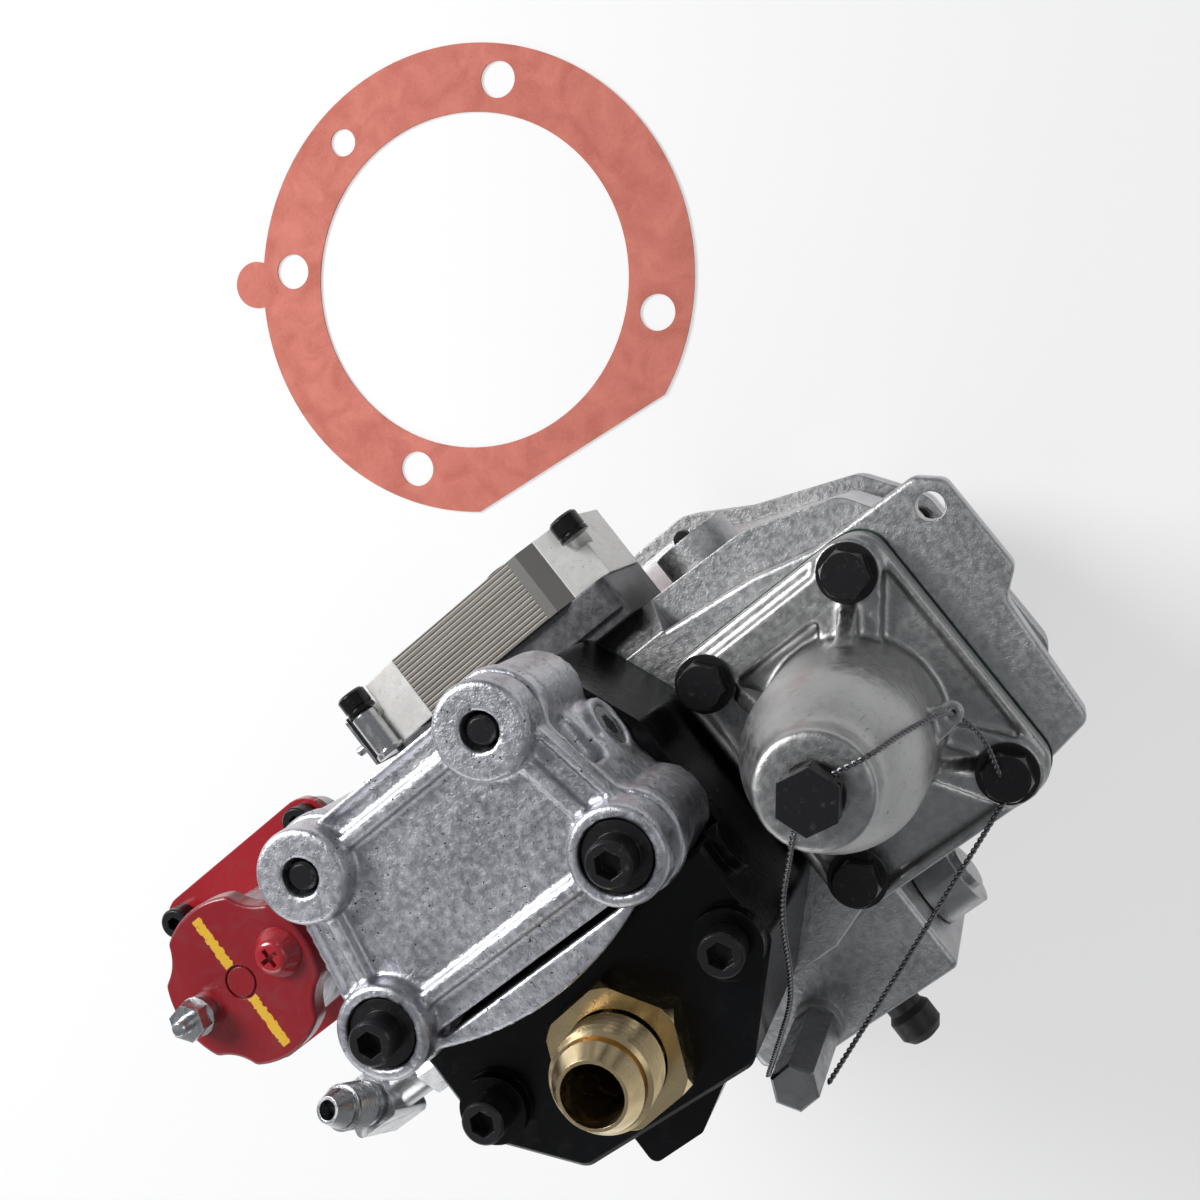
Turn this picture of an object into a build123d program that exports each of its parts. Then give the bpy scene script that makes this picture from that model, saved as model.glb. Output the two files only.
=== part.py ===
# Diesel injection pump of the pressure-time kind, standing on its drive flange.
# Frame: origin at the centre of the mounting face on the drive-shaft axis, +Z from the
# flange to the rear covers, +X towards the governor spring cover, +Y towards the actuator.
from build123d import *
from math import acos, atan2, cos, degrees, hypot, pi, radians, sin, sqrt, tan
import os

os.makedirs("parts", exist_ok=True)

# ---------------------------------------------------------------- fits and clearances
running = 0.03          # radial clearance of a shaft in its bore
seated = 0.02           # radial clearance of a screw or a plug in its hole
drilled = 0.4           # radial clearance of a screw in a drilled hole
idle_gap = 0.3          # space between moving pieces that don't bear on each other

# ---------------------------------------------------------------- drive end
flange_radius = 93.0
flange_thick = 12.0
flange_flat = 81.0      # from the drive axis to the flat on the flange's upper side
flange_flat_turn = -6.0
flange_bolt_circle = 158.75
flange_hole_angles = (-136.6, -41.8, 34.8, 132.8)
flange_hole_radius = 7.15
dowel_hole_angle = -83.6
dowel_hole_radius = 5.5
ear_angle = -38.0
ear_reach = 96.0
ear_radius = 9.6
gasket_bore_radius = 66.6
gasket_thick = 0.8
gasket_lies_at = (41.8, 212.0)
gasket_lies_turned = 177.6
pilot_radius = 46.0
pilot_depth = 6.0
coupling_recess_radius = 40.0
cover_depth = 52.0      # mounting face to the joint with the housing
cover_floor = cover_depth - 14
cover_lip = 9.0         # thickness of the joint flange
cover_wall_step = 5.0   # how far the joint flange stands out from the cover's wall
cover_corner = 9.0
cover_outline = [(-68, -48), (-40, -78), (45, -75), (116, -53), (135, -34), (135, 30),
                 (121, 51), (84, 66), (64, 78), (-48, 78), (-68, 58)]
cover_bolt_places = [(-61, -44), (-36, -71), (44, -68), (113, -47), (129, 26), (60, 71), (-60, 54)]
cover_bolt_radius = 3.2

# ---------------------------------------------------------------- housing
housing_depth = 97.2
housing_front = cover_depth + gasket_thick
housing_rear = housing_front + housing_depth
body_top = 57.0
waist_from = housing_rear - 50
body_outline = [(-52, -38), (-34, -58), (40, -58), (96, -50), (131, -42), (133, 28),
                (122, 46), (92, 56), (62, body_top), (-42, body_top), (-52, 47)]
plate_thick = 10.0
plate_outline = [(-52, -38), (-34, -58), (40, -58), (60, -51), (118, -50), (139, -46), (142, -6),
                 (149.5, 0), (149.5, 31), (143, 37), (109, 38), (89, 43), (56, 47), (-44, 47), (-52, 40)]
plate_corner = 1.6
support_hole_at = (141.5, 27.3)
support_hole_radius = 4.2
top_boss_at = (74.5, housing_rear - 32)     # x and z of the blind boss on top
top_boss_radius = 13.0
top_boss_top = 66.0
throttle_case_left = -12.0
throttle_case_right = 60.0
throttle_case_low = -88.0
throttle_case_outline = [(throttle_case_left, -50), (throttle_case_left, -80), (-5, throttle_case_low),
                         (throttle_case_right, throttle_case_low), (throttle_case_right, -45)]
throttle_case_from = housing_rear - 74
throttle_case_to = housing_rear - 22
foot_left = -27.0

# ---------------------------------------------------------------- drive train
shaft_bearing_radius = 12.5
shaft_gear_radius = 11.0
shaft_radius = 9.5
shaft_pump_radius = 8.0
bearing_outer_radius = 26.0
bearing_width = 14.0
ball_radius = 3.9
ball_count = 9
seal_radius = 22.0
seal_width = 5.0
seal_gap = 1.0          # between the seal's pocket and the bearing's
coupling_recess_depth = cover_floor - bearing_width - seal_width - seal_gap
coupling_radius = 36.0
coupling_hub_radius = 16.0
coupling_bore_radius = 9.0
coupling_thick = 6.0
jaw_count = 3
jaw_height = 5.0
gear_from = cover_floor + 2
gear_width = 11.0
gear_module = 2.0
drive_teeth = 54
governor_teeth = 34
gear_backlash = 0.25
pressure_angle = radians(20)

# ---------------------------------------------------------------- governor
governor_drop = -8.0                # y of the governor axis
governor_reach = gear_module * (drive_teeth + governor_teeth) / 2
governor_x = sqrt(governor_reach**2 - governor_drop**2)
weight_chamber_radius = 38.0
weight_chamber_to = housing_rear - 50
carrier_disc_radius = 30.0
carrier_disc_thick = 6.0
carrier_journal_radius = 6.0
carrier_journal_length = 14.0
weight_pin_offset = 15.0
weight_pin_radius = 2.0
weight_pin_height = 8.0             # above the carrier's disc
weight_width = 17.0
weight_foot_reach = 9.0
weight_foot_radius = 2.0
weight_height = 22.0
weight_thick = 11.0
lug_thick = 3.5
plunger_radius = 6.0
plunger_tail_radius = 4.0
plunger_flange_radius = 8.5
plunger_flange_thick = 2.0
plunger_travel = 3.5
barrel_radius = 11.0
barrel_length = 46.0
spring_seat_radius = 14.5
spring_seat_thick = 3.0
spring_radius = 12.0
spring_wire_radius = 1.3
spring_turns = 6

# ---------------------------------------------------------------- governor spring cover
cover_bolt_boss = 9.6
cover_to_pump = 1.54                # between the cover's bosses and the gear pump
spring_flange_thick = 6.5
spring_pad_thick = 11.2
spring_rim_width = 3.2
spring_rim_margin = 2.8
dome_radius = 26.0
dome_top_radius = 24.5
dome_shoulder_at = 50.0             # above the housing's rear face
dome_neck_radius = 15.0
dome_neck_at = 79.0
dome_top_at = 88.0
dome_bore_radius = 19.0
dome_upper_bore_radius = 14.8
dome_wall = 8.0
gusset_thick = 5.0
gusset_height = 24.0
plug_across_flats = 14.3
plug_height = 9.5
plug_thread_radius = 6.0
lug_height = 34.0                   # of the seal-wire lug above the housing's rear face
lug_thick_z = 4.0

# ---------------------------------------------------------------- gear pump
pump_gasket_thick = 0.4
pump_body_depth = 39.6
pump_half_width = 50.5
pump_waist = 48.3
pump_top = 60.0
pump_outline = [(-pump_half_width, -34), (-31, -55), (25, -57), (pump_half_width, -33), (pump_half_width, 30),
                (38, pump_top), (-38, pump_top), (-pump_waist, 32), (-pump_waist, 6), (-pump_half_width, 2)]
cover_bolt_span = (2 * (governor_x - pump_half_width - cover_to_pump - cover_bolt_boss), 70.0)
pump_corner = 5.0
pump_gear_module = 2.75
pump_gear_teeth = 12
pump_gear_width = 26.0
pump_gear_floor = 11.0              # from the housing joint to the gears
pump_cover_thick = 28.0
pump_cover_upper = 6.0              # thickness left under the damper
pump_cover_split = -4.0             # y where the thick part starts
sump_outline = [(-17, -50), (-17, -65), (0, -65), (18, -55), (18, -48)]
pump_screw_at = (41.0, -27.6)
pump_screw_boss = 9.5
pump_screw_boss_height = 4.0
side_plug_at = (-10.0, 15.0)        # y, and height above the pump's joint
side_plug_radius = 7.0
inlet_at = (0.5, -34.0)
inlet_bore_radius = 8.2
inlet_across_flats = 34.9
inlet_thread_radius = 13.5
inlet_hex_height = 10.0
inlet_thread_length = 15.0
inlet_nose_length = 6.5
inlet_shank_radius = 10.5
inlet_hex_turn = 35.0

# ---------------------------------------------------------------- pulsation damper
damper_upper = (32.2, 52.0)
damper_lower = (40.6, 7.8)
damper_boss_radius = 13.0
damper_wall_step = 4.0              # how far the bosses stand out from the wall
damper_body_depth = 35.0
damper_cover_thick = 5.0
damper_rib_height = 8.2
damper_rib_width = 4.0
damper_rim_height = 6.4
damper_rim_width = 1.8
damper_collar_step = 1.0
damper_collar_height = 6.0
damper_pocket_radius = 9.6
damper_pocket_depth = 3.5
damper_washer_radius = 9.0
damper_washer_thick = 2.4
damper_eye_radius = 5.2
damper_eye_depth = 4.0
damper_boss_height = 12.0
damper_centre_y = 30.0
damper_chamber_radius = 17.0
damper_chamber_depth = 12.0
diaphragm_radius = 20.0
diaphragm_thick = 0.8
o_ring_radius = 18.4
o_ring_section = 1.2
damper_skirt_drop = -11.5           # lowest point of the cover's convex lower edge
port_at = (34.0, 9.0)               # y, and height above the damper body's foot
port_radius = 6.0
window_at = (36.0, 27.0)            # y, and height above the damper body's foot
window_size = (15.0, 12.0)
window_depth = 4.0

# ---------------------------------------------------------------- screws
socket_head_radius = 5.95
socket_head_height = 7.9
socket_screw_radius = 3.95
socket_across_flats = 6.35
flange_head_radius = 8.65
flange_head_across_flats = 12.7
flange_head_height = 8.0
small_head_radius = 4.6
small_head_height = 6.4
small_screw_radius = 2.9

# ---------------------------------------------------------------- elbow fitting
elbow_y = -9.5
elbow_x = -76.0
elbow_block = 15.0
elbow_leg_length = 25.0
elbow_leg_tilt = 21.0               # of the leg from +Z towards +Y
elbow_thread_radius = 6.35
elbow_bore_radius = 2.7
elbow_relief_length = 1.4
elbow_nut_across_flats = 14.3
elbow_nut_length = 7.0

# ---------------------------------------------------------------- shut-off valve
valve_body_from = housing_rear - 18
valve_body_to = housing_rear + 30
shield_size = (68.0, 60.0)
shield_y = 45.5
shield_to_pump = 1.2
shield_corner = 8.0
valve_axis_shift = (3.2, -4.2)      # of the coil's axis from the shield's centre
valve_barrel = (41.0, 47.0)
shield_thick = 3.5
shield_screw_inset = 6.5
coil_radius = 20.4
coil_height = 32.5
coil_cap_radius = 24.4
coil_cap_thick = 6.0
scallop_radius = 14.0
scallop_reach = 36.3
stud_offset = -16.0
stud_radius = 2.4
stud_height = 13.0
stud_tip_radius = 2.2
stud_tip_length = 3.5
insulator_radius = 5.2
insulator_height = 2.5
stud_nut_across_flats = 9.5
stud_nut_height = 5.0
cap_screw_offset = 15.3
cap_screw_radius = 7.2
cap_screw_height = 5.0
valve_chamber_radius = 17.0
valve_chamber_depth = 5.0
valve_seat_radius = 9.0
valve_disc_radius = 14.0
valve_disc_thick = 2.5
valve_travel = 0.8
valve_stem_radius = 4.0
outlet_radius = 7.0

# ---------------------------------------------------------------- governor actuator
actuator_span = (-44.0, 55.0)
actuator_core_span = (-16.0, 43.0)
actuator_front = housing_rear - 46
actuator_rear = housing_rear + 4
actuator_chamfer = 9.0
actuator_base_height = 14.0
actuator_core_height = 21.5
actuator_base_span = (-36.0, 54.0)
actuator_base_inset = 2.5
rotor_axis = (14.0, housing_rear - 22)      # x and z
rotor_radius = 9.0
rotor_bore_radius = 9.4
rotor_shaft_radius = 3.0
actuator_screw_places = [(-35.0, housing_rear - 32), (49.0, housing_rear - 32), (14.0, housing_rear - 40)]
actuator_pocket = 7.0
terminal_plate_thick = 3.0
end_block_places = [(-39.5, -31.0), (51.0, 58.0)]       # x of the black blocks in the end caps
end_block_size = (11.0, 16.0)                           # along Y and along Z
end_block_proud = 0.8

# ---------------------------------------------------------------- throttle
throttle_y = -70.0
throttle_z = housing_rear - 49
throttle_radius = 7.0
throttle_end_gap = 0.6
lever_thick = 7.0
lever_hub_length = 13.0
lever_length = 27.0
lever_hub_radius = 12.0
lever_tip_radius = 6.0
lever_lean = 262.0                  # angle of the arm at rest, in the Y-Z plane from +Y
idle_cap_at = (12.6, -78.4)
idle_cap_across_flats = 12.7
idle_cap_length = 43.0
idle_screw_radius = 4.2
idle_boss_radius = 8.0
idle_boss_height = 5.0
drain_cap_at = (33.5, housing_rear - 37)    # x and z
drain_cap_neck = 5.8
drain_cap_bulb = 7.3
drain_cap_length = 17.0

wire_radius = 0.6

# ---------------------------------------------------------------- levels worked out
pump_front = housing_rear + pump_gasket_thick
pump_joint = pump_front + pump_body_depth
gears_front = pump_front + pump_gear_floor
gears_rear = gears_front + pump_gear_width
pump_face = pump_joint + pump_cover_thick
damper_foot = pump_joint + pump_cover_upper
damper_joint = damper_foot + damper_body_depth
damper_top = damper_joint + damper_boss_height
elbow_z = pump_joint + 17.5
spring_foot = housing_rear + gasket_thick
pump_gear_centres = pump_gear_module * pump_gear_teeth
governor_at = (governor_x, governor_drop)
carrier_disc_from = gear_from + gear_width + 3
weight_pin_z = carrier_disc_from + carrier_disc_thick + weight_pin_height
plunger_flange_z = weight_pin_z + weight_foot_radius * 2.8 + 0.4
barrel_from = weight_chamber_to
barrel_to = barrel_from + barrel_length
plunger_end = housing_rear
spring_from = plunger_end + spring_seat_thick
spring_to = housing_rear + dome_neck_at - dome_wall
shield_at = (-pump_waist - shield_to_pump - shield_size[0] / 2, shield_y)
valve_axis = (shield_at[0] + valve_axis_shift[0], shield_at[1] + valve_axis_shift[1])
cap_face = valve_body_to + shield_thick + coil_height + coil_cap_thick
valve_disc_seat = valve_body_to + shield_thick - valve_travel - idle_gap - valve_disc_thick
core_foot = body_top + actuator_base_height
core_top = core_foot + actuator_core_height
x_axis = Vector(1, 0, 0)
y_axis = Vector(0, 1, 0)
z_axis = Vector(0, 0, 1)


# ---------------------------------------------------------------- shapes used all over
def rod(radius, start, direction, length):
    base = Plane(origin=start, z_dir=direction)
    return base * extrude(Circle(radius), length)


def post(radius, at, z_from, z_to):
    return rod(radius, (at[0], at[1], z_from), z_axis, z_to - z_from)


def ring(outer, inner, at, z_from, z_to):
    return post(outer, at, z_from, z_to) - post(inner, at, z_from, z_to)


def rounded(points, corner):
    sheet = Polygon(*points, align=None)
    return fillet(sheet.vertices(), corner)


def slab(sheet, z_from, z_to):
    return Pos(0, 0, z_from) * extrude(sheet, z_to - z_from)


def hexagon(across_flats, turn=0.0):
    return Rot(0, 0, turn) * RegularPolygon(across_flats / 2, 6, major_radius=False)


def disc_hull(circles):
    edges = []
    for (x, y), radius in circles:
        edges += (Pos(x, y) * Circle(radius)).edges()
    return make_hull(edges)


def turned(profile, at):
    sheet = make_face(Polyline(*[(r, 0, z) for r, z in profile], close=True))
    return Pos(at[0], at[1], 0) * revolve(sheet, Axis.Z)


def save(name, *solids):
    kept = []
    for shape in solids:
        kept += shape.solids()
    part = kept[0] if len(kept) == 1 else Compound(children=kept)
    export_step(part, f"parts/{name}.step")
    print(f"{name}: {len(kept)} solid(s), {sum(s.volume for s in kept):.0f} mm3")


# A socket-head cap screw along +Z, its head's seat at the origin and the shank below.
def socket_screw(head_radius, head_height, shank_radius, length, socket):
    head = extrude(Circle(head_radius), head_height)
    head = chamfer(head.edges().sort_by(Axis.Z)[-1], 0.5)
    key = Pos(0, 0, head_height * 0.45) * extrude(hexagon(socket), head_height)
    shank = Pos(0, 0, -length) * extrude(Circle(shank_radius), length)
    return head - key + shank


def cap_screw(length):
    return socket_screw(socket_head_radius, socket_head_height, socket_screw_radius, length,
                        socket_across_flats)


# A hexagon head on a round washer face, as on the spring cover.
def flange_bolt(length):
    washer = extrude(Circle(flange_head_radius), 1.6)
    head = Pos(0, 0, 1.6) * extrude(hexagon(flange_head_across_flats), flange_head_height - 1.6)
    crown = Pos(0, 0, 1.6) * Cone(flange_head_radius, flange_head_across_flats / 2, flange_head_height - 1.6,
                                  align=(Align.CENTER, Align.CENTER, Align.MIN))
    shank = Pos(0, 0, -length) * extrude(Circle(socket_screw_radius), length)
    return washer + (head & crown) + shank


# ---------------------------------------------------------------- spur gears
def involute(angle):
    return tan(angle) - angle


# One closed outline of involute teeth; the tips and roots are straight chords.
def gear_sheet(module, teeth, addendum, backlash, turn=0.0):
    pitch = module * teeth / 2
    base = pitch * cos(pressure_angle)
    tip = pitch + addendum * module
    root = pitch - (addendum + 0.25) * module
    half_tooth = pi / (2 * teeth) - backlash / (2 * pitch)
    flank = [max(base, root) + (tip - max(base, root)) * step for step in (0.02, 0.5, 1.0)]
    spread = [half_tooth + involute(pressure_angle) - involute(acos(base / r)) for r in flank]
    radii = [root] + flank
    spread = [spread[0]] + spread
    points = []
    for tooth in range(teeth):
        middle = turn + 2 * pi * tooth / teeth
        points += [(r * cos(middle - a), r * sin(middle - a)) for r, a in zip(radii, spread)]
        points += [(r * cos(middle + a), r * sin(middle + a)) for r, a in zip(radii[::-1], spread[::-1])]
    return Polygon(*points, align=None)


def spur_gear(module, teeth, addendum, backlash, turn, bore, z_from, width):
    blank = slab(gear_sheet(module, teeth, addendum, backlash, turn), z_from, z_from + width)
    return blank - post(bore, (0, 0), z_from, z_from + width)


# ---------------------------------------------------------------- drive-end cover
def flange_sheet():
    sheet = Circle(flange_radius)
    ear = (ear_reach * cos(radians(ear_angle)), ear_reach * sin(radians(ear_angle)))
    sheet += Pos(*ear) * Circle(ear_radius)
    above = Pos(0, flange_flat + flange_radius / 2) * Rectangle(3 * flange_radius, flange_radius)
    return sheet - Rot(0, 0, flange_flat_turn) * above


def on_bolt_circle(angle):
    reach = flange_bolt_circle / 2
    return reach * cos(radians(angle)), reach * sin(radians(angle))


def flange_holes():
    holes = Pos(*on_bolt_circle(dowel_hole_angle)) * Circle(dowel_hole_radius)
    for angle in flange_hole_angles:
        holes += Pos(*on_bolt_circle(angle)) * Circle(flange_hole_radius)
    return holes


def mounting_gasket():
    sheet = flange_sheet() - flange_holes() - Circle(gasket_bore_radius)
    return Pos(*gasket_lies_at) * Rot(0, 0, gasket_lies_turned) * extrude(sheet, gasket_thick)


def gear_case_sheet():
    drive_tip = gear_module * (drive_teeth / 2 + 1)
    governor_tip = gear_module * (governor_teeth / 2 + 1)
    return disc_hull([((0, 0), drive_tip + 2.5), (governor_at, governor_tip + 2.5)])


def front_cover():
    outline = rounded(cover_outline, cover_corner)
    wall = offset(outline, -cover_wall_step)
    body = slab(wall, flange_thick - 1, cover_depth - cover_lip)
    body += slab(outline, cover_depth - cover_lip, cover_depth)
    body += extrude(flange_sheet(), flange_thick)
    body -= extrude(flange_holes(), flange_thick)
    for angle in flange_hole_angles:
        body -= post(flange_hole_radius * 1.9, on_bolt_circle(angle), flange_thick, cover_depth - cover_lip)
    body -= slab(gear_case_sheet(), cover_floor, cover_depth)
    body -= post(pilot_radius, (0, 0), 0, pilot_depth)
    body -= post(coupling_recess_radius, (0, 0), 0, coupling_recess_depth)
    body -= post(seal_radius, (0, 0), coupling_recess_depth, coupling_recess_depth + seal_width + seal_gap)
    body -= post(shaft_bearing_radius + idle_gap, (0, 0), coupling_recess_depth, cover_floor)
    body -= post(bearing_outer_radius, (0, 0), cover_floor - bearing_width, cover_floor)
    journal_from = gear_from - carrier_journal_length
    body -= post(carrier_journal_radius + running, governor_at, journal_from, cover_floor)
    for place in cover_bolt_places:
        body -= post(cover_bolt_radius + drilled, place, cover_depth - cover_lip, cover_depth)
        body -= post(cover_bolt_radius * 2.1, place, flange_thick, cover_depth - cover_lip)
    return body


def front_cover_gasket():
    sheet = rounded(cover_outline, cover_corner) - gear_case_sheet()
    for place in cover_bolt_places:
        sheet -= Pos(*place) * Circle(cover_bolt_radius + drilled)
    return slab(sheet, cover_depth, cover_depth + gasket_thick)


def front_cover_bolts():
    bolts = []
    for x, y in cover_bolt_places:
        bolt = socket_screw(cover_bolt_radius * 1.7, cover_bolt_radius * 1.8, cover_bolt_radius,
                            cover_lip + gasket_thick + 14, cover_bolt_radius * 1.6)
        bolts.append(Pos(x, y, cover_depth - cover_lip) * Rot(180, 0, 0) * bolt)
    return bolts


# ---------------------------------------------------------------- main housing
def housing_shell():
    front = rounded(cover_outline, cover_corner)
    waist = rounded(body_outline, cover_corner)
    rear = rounded(plate_outline, 4)
    shoulder_from = housing_rear - plate_thick - 2
    body = slab(front, housing_front, housing_front + cover_lip)
    throat = offset(front, -cover_wall_step)
    body += loft([Pos(0, 0, housing_front + cover_lip) * throat, Pos(0, 0, waist_from) * waist])
    body += slab(waist, waist_from, shoulder_from)
    body += post(weight_chamber_radius + 5, governor_at, housing_front, housing_rear - plate_thick)
    plate = slab(rear, housing_rear - plate_thick, housing_rear)
    body += fillet(plate.edges().group_by(Axis.Z)[-1], plate_corner)
    low = plate_outline[-2][1]
    ramp = Polygon((housing_rear, low), (shoulder_from, body_top), (shoulder_from - 1, low - 12),
                   (housing_rear, low - 12), align=None)
    left, right = plate_outline[-2][0] + 2, body_outline[8][0] - 4
    wedge = Plane(origin=(left, 0, 0), x_dir=z_axis, z_dir=-x_axis) * ramp
    body += extrude(wedge, right - left, dir=x_axis)
    return body


def throttle_case():
    case = slab(rounded(throttle_case_outline, 2.5), throttle_case_from, throttle_case_to)
    case = fillet(case.edges().group_by(Axis.Z)[-1], 2)
    foot = [(foot_left, -50), (foot_left, -74), (foot_left + 5, -80), (0, -80), (0, -50)]
    case += slab(rounded(foot, 3), throttle_case_from, throttle_case_to - 18)
    case += post(idle_boss_radius, idle_cap_at, throttle_case_from, throttle_case_to + idle_boss_height)
    return case


def main_housing():
    body = housing_shell() + throttle_case()
    boss_x, boss_z = top_boss_at
    body += rod(top_boss_radius, (boss_x, 40, boss_z), y_axis, top_boss_top - 40)
    body -= slab(gear_case_sheet(), housing_front, gear_from + gear_width + 6)
    body -= post(weight_chamber_radius, governor_at, housing_front, weight_chamber_to)
    body -= post(barrel_radius, governor_at, weight_chamber_to, housing_rear)
    body -= post(spring_seat_radius + 2, governor_at, barrel_to, housing_rear)
    body -= post(shaft_radius + running, (0, 0), housing_front, housing_rear)
    body -= rod(throttle_radius + running, (throttle_case_left + 8, throttle_y, throttle_z), x_axis,
                throttle_case_right - throttle_case_left)
    body -= post(support_hole_radius, support_hole_at, housing_rear - plate_thick, housing_rear)
    idle_face = throttle_case_to + idle_boss_height
    body -= post(idle_screw_radius + seated, idle_cap_at, throttle_case_to - 12, idle_face)
    for place in cover_bolt_places:
        body -= post(cover_bolt_radius + seated, place, housing_front, housing_front + 16)
    for x, y in spring_bolt_places():
        body -= post(socket_screw_radius + seated, (x, y), housing_rear - 18, housing_rear)
    for x, y in pump_screw_places():
        body -= post(socket_screw_radius + seated, (x, y), housing_rear - 16, housing_rear)
    for x, z in actuator_screw_places:
        body -= rod(small_screw_radius + seated, (x, body_top - 14, z), y_axis, 15)
    body -= rod(rotor_shaft_radius + running, (rotor_axis[0], body_top - 10, rotor_axis[1]), y_axis, 11)
    body -= rod(drain_cap_neck - 2, (drain_cap_at[0], throttle_case_low, drain_cap_at[1]), y_axis, 8)
    return body


# ---------------------------------------------------------------- drive train
def drive_shaft():
    hub_end = coupling_recess_depth
    pump_end = pump_joint + 4
    nose = hub_end - coupling_thick
    gear_to = gear_from + gear_width
    steps = [(0, nose), (coupling_bore_radius, nose), (coupling_bore_radius, hub_end),
             (shaft_bearing_radius, hub_end), (shaft_bearing_radius, cover_floor),
             (shaft_gear_radius, cover_floor), (shaft_gear_radius, gear_to), (shaft_radius, gear_to),
             (shaft_radius, housing_rear), (shaft_pump_radius, housing_rear),
             (shaft_pump_radius, pump_end), (0, pump_end)]
    return turned(steps, (0, 0))


# A hub with three jaws that the engine's drive takes hold of, inside the flange's recess.
def drive_coupling():
    rear = coupling_recess_depth - idle_gap
    front = coupling_recess_depth - coupling_thick
    hub = ring(coupling_radius, coupling_bore_radius, (0, 0), front, rear)
    for jaw in range(jaw_count):
        angle = 360 / jaw_count * jaw
        sector = Rot(0, 0, angle) * (Pos(coupling_radius / 2, 0) * Rectangle(coupling_radius, 13))
        sector = sector & Circle(coupling_radius)
        hub += slab(sector - Circle(coupling_hub_radius), front - jaw_height, front)
    return hub - post(coupling_bore_radius, (0, 0), front - jaw_height, rear)


def bearing_rings():
    rear = cover_floor
    front = cover_floor - bearing_width
    track = (bearing_outer_radius + shaft_bearing_radius) / 2
    groove = Pos(0, 0, (front + rear) / 2) * Torus(track, ball_radius + running)
    land = (bearing_outer_radius - shaft_bearing_radius) * 0.32
    outer = ring(bearing_outer_radius, bearing_outer_radius - land, (0, 0), front, rear) - groove
    inner = ring(shaft_bearing_radius + land, shaft_bearing_radius, (0, 0), front, rear) - groove
    balls = []
    for ball in range(ball_count):
        angle = 2 * pi * ball / ball_count
        balls.append(Pos(track * cos(angle), track * sin(angle), (front + rear) / 2) * Sphere(ball_radius))
    return outer, inner, balls


def shaft_seal():
    front = coupling_recess_depth + seal_gap / 2
    body = ring(seal_radius, shaft_bearing_radius + running, (0, 0), front, front + seal_width)
    return body - ring(seal_radius - 3, shaft_bearing_radius + 3, (0, 0), front + 2, front + seal_width)


def drive_gear():
    towards = atan2(governor_drop, governor_x)
    gear = spur_gear(gear_module, drive_teeth, 1.0, gear_backlash, towards, shaft_gear_radius,
                     gear_from, gear_width)
    web = ring(gear_module * drive_teeth / 2 - 8, 19, (0, 0), gear_from, gear_from + gear_width)
    gear -= web & slab(Circle(flange_radius), gear_from + gear_width - 3.5, gear_from + gear_width)
    for hole in range(6):
        angle = radians(60 * hole)
        gear -= post(6, (33 * cos(angle), 33 * sin(angle)), gear_from, gear_from + gear_width)
    return gear


# ---------------------------------------------------------------- governor
def governor_carrier():
    towards = atan2(governor_drop, governor_x) + pi
    gear = spur_gear(gear_module, governor_teeth, 1.0, gear_backlash, towards + pi / governor_teeth,
                     carrier_journal_radius, gear_from, gear_width)
    disc_to = carrier_disc_from + carrier_disc_thick
    spindle = post(carrier_journal_radius, (0, 0), gear_from - carrier_journal_length + 1, carrier_disc_from)
    spindle += post(14, (0, 0), gear_from + gear_width, carrier_disc_from)
    disc = post(carrier_disc_radius, (0, 0), carrier_disc_from, disc_to)
    for side in (1, -1):
        disc -= Pos(0, side * (carrier_disc_radius + 4), 0) * post(14, (0, 0), carrier_disc_from, disc_to)
        for across in (1, -1):
            inner = weight_width / 2 + idle_gap
            lug = Plane(origin=(0, across * inner, 0), x_dir=x_axis, z_dir=(0, across, 0))
            lift = across * -1
            sheet = disc_hull([((side * weight_pin_offset, lift * -weight_pin_z * -1), 5),
                               ((side * weight_pin_offset, lift * disc_to), 6)])
            disc += extrude(lug * sheet, lug_thick) & slab(Circle(60), disc_to - 1, weight_pin_z + 10)
    bore = post(plunger_tail_radius + running, (0, 0), carrier_disc_from - 8, disc_to + 1)
    pins = Part()
    for side in (1, -1):
        reach = weight_width + 2 * (lug_thick + idle_gap)
        pins += rod(weight_pin_radius, (side * weight_pin_offset, -reach / 2, weight_pin_z), y_axis, reach)
    return Pos(*governor_at) * (gear + spindle + disc - bore - pins)


# A bell-crank flyweight: the foot bears on the plunger's flange, the mass swings outwards.
def governor_weight(side):
    foot_lift = 1.8 * weight_foot_radius
    mass_low = weight_pin_z + 1
    arm = disc_hull([((weight_pin_offset, weight_pin_z), 4),
                     ((weight_pin_offset - weight_foot_reach, weight_pin_z + foot_lift), weight_foot_radius)])
    mass = Polygon((weight_pin_offset - 3, mass_low), (weight_pin_offset + weight_thick, mass_low + 3),
                   (weight_pin_offset + weight_thick, mass_low + weight_height),
                   (weight_pin_offset - 1, mass_low + weight_height),
                   (weight_pin_offset - 2, mass_low + 8), align=None)
    sheet = arm + mass - Pos(weight_pin_offset, weight_pin_z) * Circle(weight_pin_radius + running)
    upright = Plane(origin=(0, weight_width / 2, 0), x_dir=x_axis, z_dir=(0, -1, 0))
    crank = extrude(upright * sheet, weight_width)
    crank = crank.solids().sort_by(SortBy.VOLUME)[-1]
    turn = 0 if side > 0 else 180
    return Pos(*governor_at) * Rot(0, 0, turn) * crank


def governor_weight_pins():
    reach = weight_width + 2 * (lug_thick + idle_gap)
    pins = []
    for side in (1, -1):
        start = (governor_x + side * weight_pin_offset, governor_drop - reach / 2, weight_pin_z)
        pins.append(rod(weight_pin_radius, start, y_axis, reach))
    return pins


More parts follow.
